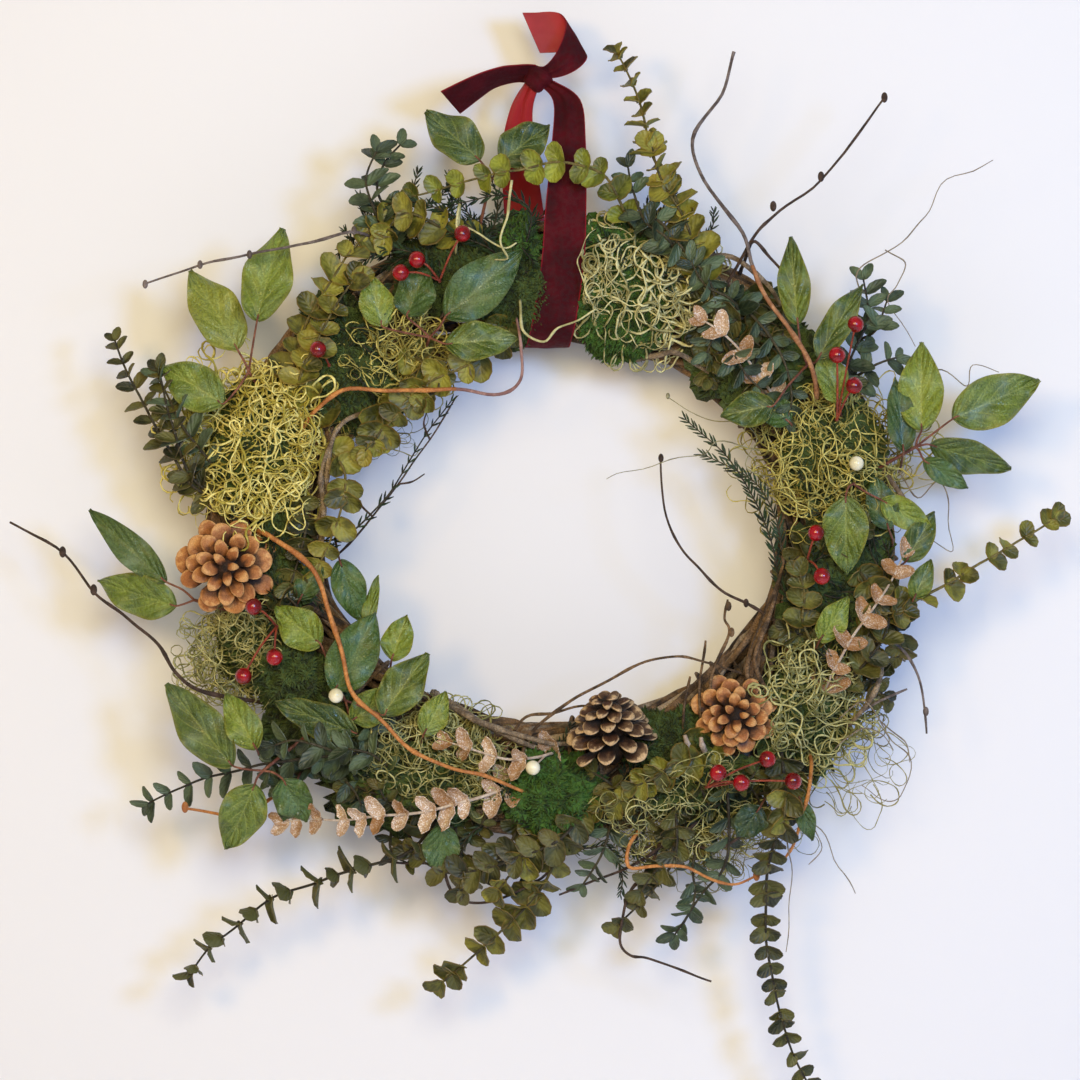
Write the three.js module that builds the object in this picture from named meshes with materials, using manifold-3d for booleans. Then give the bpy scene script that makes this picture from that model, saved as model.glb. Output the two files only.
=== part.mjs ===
// A hanging wreath of preserved eucalyptus, salal, cedar, moss, pine cones and berries, tied on a ring
// of twisted grapevine and hung from a loop of velvet ribbon.
// Millimetres, +Z up. The wreath hangs upright and faces -Y. The origin is the top of the ribbon
// loop, where the nail goes. The front is laid out on a grid of steps, x to the right and y down,
// and every place on it is [x, y, out], with out the distance in mm in front of the ring's own plane.

import * as THREE from 'three';
import { mergeVertices } from 'three/addons/utils/BufferGeometryUtils.js';
import Module from 'manifold-3d';

const wasm = await Module();
wasm.setup();

// Driving dimensions
const RIBBON_WIDTH = 25;
const STEP = RIBBON_WIDTH / 44.6;
const LOOP_TOP = [541, 88];
const GAP = 0.35;
const HOLE_GAP = GAP * 1.5;

const RING_CENTRE = [550, 530];
const RING_HALF_WIDTH = 163;
const RING_HALF_HEIGHT = 140.5;
const RING_BUNDLE = { across: 35.5, deep: 22.5, vines: 5, turns: 2, groove: 0.2 };
const RING_SKIN = { across: 36, deep: 23 };
const RING_STATIONS = 36;
const FACETS_PER_VINE = 3;

const STEM_RADIUS = 1.1;
const WIRE_RADIUS = 0.8;
const STALK_RADIUS = WIRE_RADIUS * 1.6;
const BERRY_RADIUS = 5;
const PEARL_RADIUS = 4.2;
const BLADE_THICKNESS = 1.5;
const RISE = 2;

// Leaf forms: how many corners the outline has, how far its tip narrows, how it dishes and waves
const ROUND = { sides: 5, narrow: 0.0, cup: 1.6, wave: 0.4, curl: 0.06 };
const NARROW = { sides: 4, narrow: 0.15, cup: 0.7, wave: 0.2, curl: 0.1 };
const OVATE = { sides: 8, narrow: 0.38, cup: 1.8, wave: 1.5, curl: 0.12 };

// Blades are widest and thickest a little before their middle, and their rim goes up and down a few times
const BLADE_WIDEST = 0.4;
const BLADE_CREST = 0.42;
const BLADE_WAVES = 5;
const BLADE_MARGIN = { rim: 2, thickness: 1.5 };

// How leaves differ along a stem: their turn, their lean towards the tip, their size and how it tapers
const LEAF_TURN = 0.25;
const LEAF_LEAN = [0.35, 0.75];
const LEAF_SIZE = [0.88, 1.12];
const LEAF_TAPER = 0.25;
const QUARTER_TURN = 1.2;
const PAIR_PLACE = 0.8;
const LAST_LEAF = 0.995;

const COLOURS = {
  grapevine: { color: 0x5a4637, roughness: 0.9 },
  velvet: { color: 0x64101c, roughness: 0.8 },
  cone: { color: 0x9c6c42, roughness: 0.75 },
  berry: { color: 0xb80f22, roughness: 0.25 },
  salal: { color: 0x5f823c, roughness: 0.5 },
  olive: { color: 0x6a6e2e, roughness: 0.55 },
  dark: { color: 0x3a4328, roughness: 0.55 },
  bluish: { color: 0x3f5a44, roughness: 0.5 },
  cedar: { color: 0x3a4630, roughness: 0.7 },
  glitter: { color: 0xb9a276, roughness: 0.6 },
  curly: { color: 0xafa052, roughness: 0.95 },
  sheet: { color: 0x3f6a22, roughness: 0.95 },
  twig: { color: 0x8b6a48, roughness: 0.85 },
};

// Eucalyptus and other leafy stems. Each route runs from the hole in the ring where the stem stands to
// its tip. leaf is [length, width] in steps, face is how far the blades turn to the front.
const LEAFY_STEMS = {
  eucalyptus_top_left: {
    colour: 'olive', form: ROUND, leaf: [27, 25], pairs: 7, face: 0.7, seed: 11,
    routes: [[[634, 232, 8], [622, 205, 30], [600, 174, 34], [560, 165, 37], [520, 172, 38],
      [478, 178, 34], [440, 190, 30], [410, 197, 26]]],
  },
  eucalyptus_top_right: {
    colour: 'olive', form: ROUND, leaf: [27, 25], pairs: 6, face: 0.65, seed: 12,
    routes: [[[688, 270, 8], [682, 222, 32], [668, 184, 32], [652, 155, 28], [644, 120, 22],
      [634, 85, 18], [618, 50, 14]]],
  },
  eucalyptus_upper_left: {
    colour: 'olive', form: ROUND, leaf: [27, 25], pairs: 5, face: 0.6, seed: 13,
    routes: [[[286, 392, 6], [296, 362, 29], [308, 325, 34], [328, 288, 34], [352, 252, 31],
      [384, 220, 26]]],
  },
  eucalyptus_inner_top: {
    colour: 'olive', form: ROUND, leaf: [26, 25], pairs: 4, face: 0.7, seed: 14,
    routes: [[[512, 320, 8], [492, 352, 27], [458, 370, 30], [425, 388, 31], [399, 414, 31],
      [378, 441, 30]]],
  },
  eucalyptus_inner_left: {
    colour: 'olive', form: ROUND, leaf: [26, 24], pairs: 4, face: 0.7, seed: 15,
    routes: [[[322, 446, 8], [344, 470, 31], [342, 505, 33], [331, 540, 34], [318, 572, 32]]],
  },
  eucalyptus_right: {
    colour: 'olive', form: ROUND, leaf: [27, 25], pairs: 7, face: 0.7, seed: 16,
    routes: [[[856, 634, 6], [884, 618, 27], [925, 595, 30], [964, 573, 27], [1005, 549, 22],
      [1040, 528, 18], [1056, 518, 16]]],
  },
  eucalyptus_lower_left: {
    colour: 'olive', form: ROUND, leaf: [28, 24], pairs: 8, face: 0.15, seed: 17,
    routes: [[[440, 815, 6], [410, 850, 25], [365, 867, 24], [320, 881, 21], [275, 898, 18],
      [238, 926, 15], [208, 949, 12], [188, 975, 10]]],
  },
  eucalyptus_bottom: {
    colour: 'olive', form: ROUND, leaf: [27, 24], pairs: 4, face: 0.45, seed: 18,
    routes: [[[566, 815, 6], [556, 858, 24], [538, 893, 18], [505, 928, 15], [470, 962, 12],
      [440, 986, 10]]],
  },
  eucalyptus_trailing: {
    colour: 'olive', form: ROUND, leaf: [26, 24], pairs: 10, face: 0.55, seed: 19,
    routes: [[[780, 742, 6], [786, 806, 30], [773, 847, 27], [767, 885, 22], [766, 926, 18],
      [771, 969, 14], [782, 1020, 12], [798, 1062, 10], [813, 1092, 9]]],
  },
  eucalyptus_bottom_small: {
    colour: 'olive', form: ROUND, leaf: [25, 23], pairs: 3, face: 0.6, seed: 20,
    routes: [[[672, 788, 6], [674, 856, 26], [648, 897, 17], [618, 928, 13]]],
  },
  eucalyptus_bottom_left: {
    colour: 'dark', form: ROUND, leaf: [31, 28], pairs: 4, face: 0.7, seed: 21,
    routes: [[[588, 806, 8], [560, 838, 33], [518, 856, 31], [480, 870, 27], [444, 872, 24],
      [412, 852, 24]]],
  },
  eucalyptus_bottom_right: {
    colour: 'olive', form: ROUND, leaf: [27, 25], pairs: 3, face: 0.7, seed: 22,
    routes: [[[706, 742, 10], [690, 758, 33], [655, 776, 36], [622, 797, 34], [600, 808, 30]]],
  },
  eucalyptus_dark_left: {
    colour: 'dark', form: ROUND, leaf: [23, 21], pairs: 3, face: 0.6, seed: 23,
    routes: [
      [[214, 496, 6], [190, 484, 19], [158, 432, 18], [138, 395, 15], [122, 362, 12], [113, 338, 10]],
      [[214, 496, 6], [190, 478, 19], [176, 440, 24], [166, 405, 24], [158, 368, 20]],
    ],
  },
  eucalyptus_dark_right: {
    colour: 'dark', form: ROUND, leaf: [25, 22], pairs: 3, face: 0.6, seed: 24,
    routes: [[[838, 690, 8], [862, 664, 30], [882, 636, 33], [890, 606, 31]]],
  },
  narrow_top: {
    colour: 'bluish', form: NARROW, leaf: [26, 13], pairs: 5, face: 0.6, seed: 31,
    routes: [[[638, 238, 8], [654, 222, 33], [675, 241, 37], [696, 266, 38], [711, 292, 38],
      [715, 324, 36], [705, 354, 33]]],
  },
  narrow_upper_right: {
    colour: 'bluish', form: NARROW, leaf: [26, 13], pairs: 4, face: 0.6, seed: 32,
    routes: [[[726, 300, 8], [748, 314, 33], [768, 340, 37], [785, 368, 38], [791, 398, 36],
      [786, 420, 34]]],
  },
  narrow_lower_left: {
    colour: 'bluish', form: NARROW, leaf: [26, 13], pairs: 6, face: 0.6, seed: 33,
    routes: [[[368, 748, 8], [345, 756, 29], [304, 758, 31], [259, 765, 27], [212, 777, 21],
      [175, 790, 16], [145, 805, 12]]],
  },
  narrow_upper_left: {
    colour: 'bluish', form: NARROW, leaf: [27, 14], pairs: 3, face: 0.6, seed: 34,
    routes: [[[398, 244, 6], [388, 214, 24], [378, 188, 22], [386, 162, 19], [400, 143, 16]]],
  },
  narrow_right: {
    colour: 'bluish', form: NARROW, leaf: [26, 14], pairs: 3, face: 0.6, seed: 35,
    routes: [[[838, 388, 6], [856, 350, 27], [868, 315, 24], [864, 280, 19]]],
  },
  narrow_bottom: {
    colour: 'bluish', form: NARROW, leaf: [25, 14], pairs: 3, face: 0.6, seed: 36,
    routes: [[[728, 768, 6], [728, 856, 24], [704, 896, 16], [676, 936, 12]]],
  },
  glitter_right: {
    colour: 'glitter', form: NARROW, leaf: [27, 17], pairs: 4, face: 0.7, seed: 41,
    routes: [[[820, 700, 8], [834, 668, 34], [852, 635, 38], [873, 604, 39], [890, 580, 37],
      [902, 556, 35]]],
  },
  glitter_bottom: {
    colour: 'glitter', form: NARROW, leaf: [28, 18], pairs: 3, face: 0.7, seed: 42,
    pearl: [533, 766, 44],
    routes: [[[556, 752, 8], [538, 757, 35], [510, 758, 38], [480, 751, 38], [451, 743, 34]]],
  },
  glitter_lower_left: {
    colour: 'glitter', form: NARROW, leaf: [27, 17], pairs: 5, face: 0.7, seed: 43,
    routes: [[[516, 782, 8], [490, 794, 34], [455, 802, 38], [419, 812, 38], [385, 815, 35],
      [346, 819, 31], [312, 819, 27], [286, 821, 24]]],
  },
  glitter_upper_right: {
    colour: 'glitter', form: NARROW, leaf: [28, 17], pairs: 3, face: 0.7, seed: 44,
    routes: [[[776, 400, 8], [757, 374, 33], [740, 352, 40], [722, 335, 42], [704, 323, 42]]],
  },
  cedar_inner_right: {
    colour: 'cedar', form: NARROW, leaf: [20, 9], pairs: 7, face: 0.8, seed: 51,
    routes: [[[800, 608, 6], [781, 588, 27], [770, 540, 28], [752, 494, 26], [722, 452, 23],
      [688, 420, 19]]],
  },
  cedar_inner_left: {
    colour: 'cedar', form: NARROW, leaf: [20, 9], pairs: 5, face: 0.8, seed: 52,
    routes: [[[312, 542, 6], [345, 536, 28], [378, 506, 27], [403, 471, 25], [429, 431, 24],
      [450, 402, 23]]],
  },
  cedar_top_left: {
    colour: 'cedar', form: NARROW, leaf: [20, 9], pairs: 4, face: 0.8, seed: 53,
    routes: [[[510, 276, 8], [492, 252, 29], [450, 234, 32], [404, 216, 28], [362, 198, 22]]],
  },
};

// Salal sprays: junction is where the stalks meet, and each leaf is [base, tip, width]
const SALAL_SPRAYS = {
  salal_top: {
    root: [478, 232, 8], junction: [490, 182, 28], seed: 61,
    leaves: [[[480, 161, 28], [426, 110, 24], 43], [[501, 163, 26], [549, 121, 22], 40]],
  },
  salal_top_left: {
    root: [424, 352, 8], junction: [430, 338, 33], seed: 62,
    leaves: [
      [[446, 318, 40], [519, 255, 44], 48], [[446, 345, 38], [515, 340, 40], 38],
      [[408, 318, 38], [426, 270, 42], 40], [[384, 328, 36], [370, 278, 40], 34],
    ],
  },
  salal_upper_left: {
    root: [262, 392, 6], junction: [249, 372, 28], seed: 63,
    leaves: [
      [[238, 350, 28], [191, 269, 24], 50], [[258, 322, 34], [280, 229, 32], 51],
      [[224, 404, 28], [161, 366, 26], 46],
    ],
  },
  salal_left: {
    root: [232, 612, 6], junction: [194, 600, 24], seed: 64,
    leaves: [[[166, 582, 24], [88, 511, 24], 28], [[172, 604, 22], [94, 584, 18], 42]],
  },
  salal_lower_left: {
    root: [316, 728, 6], junction: [264, 770, 33], seed: 65,
    leaves: [
      [[234, 765, 34], [166, 685, 32], 45], [[256, 783, 34], [228, 850, 30], 45],
      [[284, 778, 36], [306, 822, 32], 38],
    ],
  },
  salal_inner_left: {
    root: [338, 690, 8], junction: [346, 700, 33], seed: 66,
    leaves: [
      [[322, 642, 38], [277, 609, 40], 38], [[336, 688, 40], [377, 616, 44], 46],
      [[356, 731, 36], [278, 706, 40], 36], [[384, 712, 38], [425, 653, 40], 40],
    ],
  },
  salal_upper_right: {
    root: [800, 372, 8], junction: [806, 366, 36], seed: 67,
    leaves: [
      [[796, 326, 44], [790, 242, 48], 30], [[816, 358, 44], [856, 286, 46], 30],
      [[772, 404, 44], [721, 418, 46], 34],
    ],
  },
  salal_right: {
    root: [876, 470, 6], junction: [915, 447, 30], seed: 68,
    leaves: [
      [[920, 430, 34], [918, 345, 36], 43], [[952, 419, 30], [1041, 380, 26], 50],
      [[930, 445, 28], [1013, 472, 22], 33], [[922, 460, 34], [966, 488, 34], 24],
    ],
  },
  salal_inner_right: {
    root: [862, 486, 6], junction: [852, 484, 34], seed: 69,
    leaves: [[[844, 498, 40], [843, 572, 42], 45], [[880, 500, 34], [930, 530, 36], 28]],
  },
};

// Pine cones: centre of the base on the ring, half width and height in mm, the way the tip points
const CONES = {
  pine_cone_left: { base: [229, 566, 21], tilt: [0, 0], half: 28, height: 34, seed: 71 },
  pine_cone_right: { base: [735, 714, 22], tilt: [0, 0], half: 23.5, height: 30, seed: 72 },
  pine_cone_middle: { base: [612, 748, 24], tilt: [-0.1, 0.55], half: 24, height: 36, seed: 73 },
};
const CONE_STALK = { radius: 2.6, up: 8, down: 8 };
const SCALES = 19;

// The cone's core and its scales in shares of its half width and height: at the base, and the change to
// the tip
const CONE_CORE = { half: 0.42, height: 0.5 };
const SCALE_SLOPE = { base: 0.15, change: 1.15 };
const SCALE_FOOT = { base: 0.12, change: 0.7, off: 0.3 };
const SCALE_LENGTH = { base: 0.7, change: -0.36 };
const SCALE_WIDTH = { base: 0.42, change: -0.16 };
const SCALE_SIZE = [0.94, 1.04];
const SCALE_FORM = { sides: 5, narrow: -0.7, cup: -0.6, wave: 0, curl: -0.05 };
const GOLDEN_ANGLE = Math.PI * (3 - Math.sqrt(5));

// Berry picks: root in the ring, then each berry on its own wire
const BERRY_PICKS = {
  berries_top_left: {
    root: [440, 282, 8], fork: 36, berries: [[463, 236, 44], [418, 262, 46], [402, 275, 46]],
  },
  berries_upper_left: { root: [330, 366, 8], fork: 34, berries: [[320, 351, 46]] },
  berries_left: { root: [278, 626, 8], fork: 36, berries: [[257, 606, 54], [277, 656, 48], [246, 675, 46]] },
  berries_upper_right: {
    root: [836, 420, 6], fork: 34, berries: [[853, 326, 44], [834, 357, 50], [851, 387, 48]],
  },
  berries_right: { root: [806, 560, 6], fork: 36, berries: [[814, 533, 44], [819, 576, 50]] },
  berries_lower_right: {
    root: [706, 786, 8], fork: 38, berries: [[765, 757, 50], [716, 770, 54], [739, 780, 52], [791, 779, 46]],
  },
};

// Moss: centre and half sizes in steps on the ring's face, height in mm over the vines
const MOSS_CLEAR = 0.7;
const MOSS = {
  curly_moss_left: { at: [250, 442], half: [62, 68], height: 6, sink: 0, strands: 5, seed: 81 },
  curly_moss_upper_left: { at: [404, 346], half: [38, 30], height: 5, sink: 0, strands: 5, seed: 82 },
  curly_moss_top: { at: [644, 266], half: [44, 34], height: 6, sink: 0, strands: 5, seed: 83 },
  curly_moss_right: { at: [834, 450], half: [62, 62], height: 6, sink: 0, strands: 4, seed: 84 },
  curly_moss_lower_right: { at: [812, 700], half: [42, 54], height: 6, sink: 0, strands: 4, seed: 85 },
  curly_moss_bottom: { at: [441, 762], half: [56, 34], height: 5, sink: 1, strands: 5, seed: 86 },
  sheet_moss_upper_left: { at: [326, 340], half: [24, 44], height: 6, sink: 0, strands: 0, seed: 87 },
  sheet_moss_top_right: { at: [614, 328], half: [20, 14], height: 5, sink: 1, strands: 0, seed: 88 },
  sheet_moss_bottom: { at: [550, 792], half: [42, 34], height: 8, sink: 0, strands: 0, seed: 89 },
};

// The bed's lumps, and the strands that rise from it: long curls, or short blunt tufts
const MOSS_LUMPS = { spread: [0.75, 1.2], rise: [0.7, 1.3] };
const CURL = { span: [12, 20], height: [8, 12], radius: 1.1 };
const TUFT = { span: [3, 6], height: [6, 9], radius: 1.6, count: 5, droop: 2 };
const CURL_REACH = [0.05, 0.8];
const CURL_SINK = 0.4;

// Salal stalks, and how much of a leaf's lift its foot follows
const SALAL_STALK = { radius: STEM_RADIUS * 0.9, heel: 3, tuck: 1.5 };
const SALAL_FOLLOW = 0.6;

// Bare vines and twigs that wander over the front
const TWIGS = {
  vine_orange: {
    radius: 1.5,
    route: [[256, 530, 14], [272, 536, 36], [313, 568, 42], [330, 610, 44], [342, 650, 46],
      [352, 690, 46], [380, 717, 46], [411, 745, 44], [447, 764, 44], [485, 774, 42],
      [522, 790, 34], [534, 800, 12]],
  },
  vine_mauve: {
    radius: 1.2,
    route: [[302, 430, 12], [316, 410, 34], [346, 391, 42], [396, 391, 40], [456, 391, 38],
      [500, 394, 37], [520, 380, 37], [521, 350, 37], [519, 330, 33], [514, 304, 12]],
  },
  twig_top: {
    radius: 1.3,
    route: [[735, 50, 20], [722, 95, 24], [692, 140, 34], [704, 184, 40], [741, 235, 43],
      [752, 266, 44], [762, 296, 44], [786, 330, 46], [806, 362, 46], [816, 392, 36],
      [814, 412, 12]],
  },
  twig_left: {
    radius: 1.1,
    route: [[5, 522, 8], [60, 554, 12], [92, 592, 16], [127, 619, 18], [158, 645, 20],
      [176, 672, 24], [206, 692, 28], [262, 704, 8]],
  },
};

// Ribbon: stations of [x, y, out], the way the width runs as [x, out, z], and the width in steps
const RIBBON_THICKNESS = 1.2;
const RIBBON_LOOP = [
  { at: [546, 78, 6], across: [0.7, 0.7, 0], width: 24 },
  { at: [567, 98, 11], across: [0.95, 0.3, 0], width: 29 },
  { at: [569, 140, 20], across: [1, 0.1, 0], width: 34 },
  { at: [566, 205, 24], across: [1, 0, 0], width: 41 },
  { at: [563, 260, 26], across: [1, 0, 0], width: 43 },
  { at: [555, 316, 24.5], across: [1, 0, 0], width: 44 },
  { at: [550, 338, 15], across: [1, 0, 0], width: 44 },
  { at: [547, 345.5, 0], across: [1, 0, 0], width: 44 },
  { at: [543, 338, -15], across: [1, 0, 0], width: 44 },
  { at: [538, 315, -24.5], across: [1, 0, 0], width: 44 },
  { at: [530, 260, -25.5], across: [1, 0, 0], width: 43 },
  { at: [523, 200, -23], across: [1, 0, 0], width: 40 },
  { at: [518, 145, -12], across: [1, 0.1, 0], width: 34 },
  { at: [521, 104, -2], across: [0.95, 0.3, 0], width: 24 },
  { at: [532, 78, 4], across: [0.7, 0.7, 0], width: 22 },
];
const RIBBON_LEFT_TAIL = [
  { at: [536, 70, 5], across: [0, 0.7, 0.7], width: 24 },
  { at: [518, 71, 7], across: [0, 0.85, 0.5], width: 34 },
  { at: [498, 75, 9], across: [0.1, 0.9, 0.4], width: 44 },
  { at: [478, 84, 11], across: [0.1, 0.92, 0.36], width: 44 },
  { at: [449, 101, 12], across: [0.1, 0.92, 0.36], width: 44 },
];
const RIBBON_UPPER_TAIL = [
  { at: [540, 70, 5], across: [0, 0.7, 0.7], width: 24 },
  { at: [562, 67, 6], across: [0, 0.9, 0.4], width: 36 },
  { at: [578, 58, 7], across: [0.2, 0.9, 0.3], width: 44 },
  { at: [580, 44, 5], across: [0.6, 0.6, 0.5], width: 44 },
  { at: [566, 33, 2], across: [0.6, 0.1, -0.8], width: 44 },
  { at: [545, 28, 0], across: [0.45, 0, -0.9], width: 44 },
  { at: [529, 26, -1], across: [0.37, 0, -0.93], width: 44 },
];
const KNOT = { at: [539, 74, 5], half: [8, 7, 7.5] };

const FRONT = new THREE.Vector3(0, -1, 0);
const WELD = 1e-4;

// Numbers that repeat on every run
function dice(seed) {
  let state = seed * 7919 + 17;
  return (low, high) => {
    state = (state * 16807) % 2147483647;
    return low + ((high - low) * state) / 2147483647;
  };
}

function place([x, y, out]) {
  return new THREE.Vector3((x - LOOP_TOP[0]) * STEP, -out, (LOOP_TOP[1] - y) * STEP);
}

function toSolid(geometry) {
  geometry.deleteAttribute('normal');
  geometry.deleteAttribute('uv');
  const merged = mergeVertices(geometry, WELD);
  return new wasm.Manifold(new wasm.Mesh({
    numProp: 3,
    vertProperties: new Float32Array(merged.attributes.position.array),
    triVerts: new Uint32Array(merged.index.array),
  }));
}

function toGeometry(solid) {
  const mesh = solid.getMesh();
  const geometry = new THREE.BufferGeometry();
  geometry.setAttribute('position', new THREE.Float32BufferAttribute(mesh.vertProperties, 3));
  geometry.setIndex(new THREE.Uint32BufferAttribute(mesh.triVerts, 1));
  return geometry;
}

// One body: loose scraps that a join or a cut leaves are dropped
function wholeBody(solid) {
  const bodies = solid.decompose();
  return bodies.reduce((best, body) => (body.volume() > best.volume() ? body : best));
}

function joined(solids) {
  return solids.reduce((sum, solid) => sum.add(solid));
}

// Edges too short to see are closed up
const FINEST_EDGE = 0.2;

function tidy(solid) {
  return wholeBody(wholeBody(solid).simplify(FINEST_EDGE));
}

// A route with one station at each of its points
class Route extends THREE.CatmullRomCurve3 {
  getPointAt(share) {
    return this.getPoint(share);
  }

  getTangentAt(share) {
    return this.getTangent(share);
  }
}

// A round stick through its points, grow thickens it for clearance
function stick(points, radius, sides, grow = 0) {
  const reach = radius + grow / Math.cos(Math.PI / sides);
  const corners = Array.from({ length: sides }, (_, i) => {
    const angle = (i / sides) * 2 * Math.PI;
    return new THREE.Vector2(reach * Math.cos(angle), reach * Math.sin(angle));
  });
  const extrudePath = new Route(points);
  const steps = points.length - 1;
  return toSolid(new THREE.ExtrudeGeometry(new THREE.Shape(corners), { steps, extrudePath }));
}

// A leaf blade: a thin lens whose rim follows the leaf's outline, waves and curls back at the tip
function blade(base, tip, width, normal, form, grow = 0) {
  const lens = new THREE.SphereGeometry(1, form.sides, 2);
  const along = tip.clone().sub(base);
  const length = along.length() + BLADE_MARGIN.rim * grow;
  along.normalize();
  const across = normal.clone().cross(along).normalize();
  const face = along.clone().cross(across);
  const half = (width / 2 + BLADE_MARGIN.rim * grow) / (1 - form.narrow * BLADE_WIDEST);
  const thick = BLADE_THICKNESS / 2 + BLADE_MARGIN.thickness * grow;
  const rim = lens.attributes.position;
  for (let i = 0; i < rim.count; i += 1) {
    const x = rim.getX(i);
    const y = rim.getY(i);
    const z = rim.getZ(i);
    const middle = Math.abs(y) > 0.5;
    const run = middle ? BLADE_CREST : (x + 1) / 2;
    const side = middle ? 0 : -z * half * (1 - form.narrow * run);
    const wave = form.wave * Math.sin(BLADE_WAVES * Math.atan2(z, x)) * Math.abs(z);
    const lift = middle ? y * thick - form.cup : wave - form.curl * length * run * run;
    const point = base.clone().addScaledVector(along, run * length);
    point.addScaledVector(across, side).addScaledVector(face, lift);
    rim.setXYZ(i, point.x, point.y, point.z);
  }
  return toSolid(lens);
}

// What already stands on the wreath, so that later pieces are bent clear of it
const standing = [];

function remember(name, solid) {
  const { min, max } = solid.boundingBox();
  standing.push({ name, solid, min, max });
}

function isClear(name, fat) {
  const { min, max } = fat.boundingBox();
  return standing.every((other) => {
    const apart = [0, 1, 2].some((k) => other.min[k] > max[k] || other.max[k] < min[k]);
    return other.name === name || apart || other.solid.intersect(fat).isEmpty();
  });
}

// The first try that is clear of everything, and of its own spray's other leaves, or null
function firstClear(name, tries, build, sisters = []) {
  const found = tries.find((option) => {
    if (!isClear(name, build(option, GAP))) {
      return false;
    }
    const leaf = build(option, 0);
    return sisters.every((sister) => sister === null || sister.intersect(leaf).isEmpty());
  });
  return found === undefined ? null : build(found, 0);
}

// The ring: a slim core with vines wound round it
function ringPoint(angle, across, deep) {
  const outward = new THREE.Vector2(Math.cos(angle) / RING_HALF_WIDTH, Math.sin(angle) / RING_HALF_HEIGHT);
  outward.normalize();
  const centre = place([...RING_CENTRE, 0]);
  return new THREE.Vector3(
    centre.x + RING_HALF_WIDTH * Math.cos(angle) + outward.x * across,
    deep,
    centre.z + RING_HALF_HEIGHT * Math.sin(angle) + outward.y * across,
  );
}

// A closed hoop round the ring, with its section given by a function of the two angles
function hoop(steps, sides, section) {
  const tube = new THREE.TorusGeometry(1, 0.3, sides, steps);
  const spots = tube.attributes.position;
  for (let j = 0; j <= sides; j += 1) {
    for (let i = 0; i <= steps; i += 1) {
      const angle = (i / steps) * 2 * Math.PI;
      const [across, deep] = section(angle, (j / sides) * 2 * Math.PI, j);
      const point = ringPoint(angle, across, -deep);
      spots.setXYZ(j * (steps + 1) + i, point.x, point.y, point.z);
    }
  }
  return toSolid(tube);
}

function grapevineRing(grow = 0) {
  const { vines, turns, groove } = RING_BUNDLE;
  const across = RING_BUNDLE.across + grow;
  const deep = RING_BUNDLE.deep + grow;
  return hoop(RING_STATIONS, vines * FACETS_PER_VINE, (angle, round, corner) => {
    const reach = corner % FACETS_PER_VINE === 0 ? 1 - groove : 1;
    const wound = round + turns * angle;
    return [reach * across * Math.cos(wound), reach * deep * Math.sin(wound)];
  });
}

// How far the vines stand out at a place on the face
function ringSkin(point) {
  const centre = place([...RING_CENTRE, 0]);
  const x = point.x - centre.x;
  const z = point.z - centre.z;
  const angle = Math.atan2(z / RING_HALF_HEIGHT, x / RING_HALF_WIDTH);
  const middle = ringPoint(angle, 0, 0);
  const across = Math.hypot(point.x - middle.x, point.z - middle.z) / RING_SKIN.across;
  return RING_SKIN.deep * Math.sqrt(Math.max(0, 1 - across * across));
}

// A flat band through its stations
function band(stations) {
  const strip = new THREE.BoxGeometry(1, 1, 1, 1, 1, stations.length - 1);
  const corners = strip.attributes.position;
  const middles = stations.map((station) => place(station.at));
  const path = new THREE.CatmullRomCurve3(middles);
  for (let i = 0; i < corners.count; i += 1) {
    const index = Math.round((corners.getZ(i) + 0.5) * (stations.length - 1));
    const station = stations[index];
    const [x, out, z] = station.across;
    const run = path.getTangent(index / (stations.length - 1));
    const across = new THREE.Vector3(x, -out, z);
    across.addScaledVector(run, -across.dot(run)).normalize();
    const thick = run.clone().cross(across);
    const point = middles[index].clone();
    point.addScaledVector(across, corners.getX(i) * station.width * STEP);
    point.addScaledVector(thick, corners.getY(i) * RIBBON_THICKNESS);
    corners.setXYZ(i, point.x, point.y, point.z);
  }
  return toSolid(strip);
}

function velvetRibbon() {
  const knot = new THREE.SphereGeometry(1, 6, 5);
  knot.scale(...KNOT.half);
  const centre = place(KNOT.at);
  knot.translate(centre.x, centre.y, centre.z);
  const bands = [RIBBON_LOOP, RIBBON_LEFT_TAIL, RIBBON_UPPER_TAIL].map(band);
  return wholeBody(joined([toSolid(knot), ...bands]));
}

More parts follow.
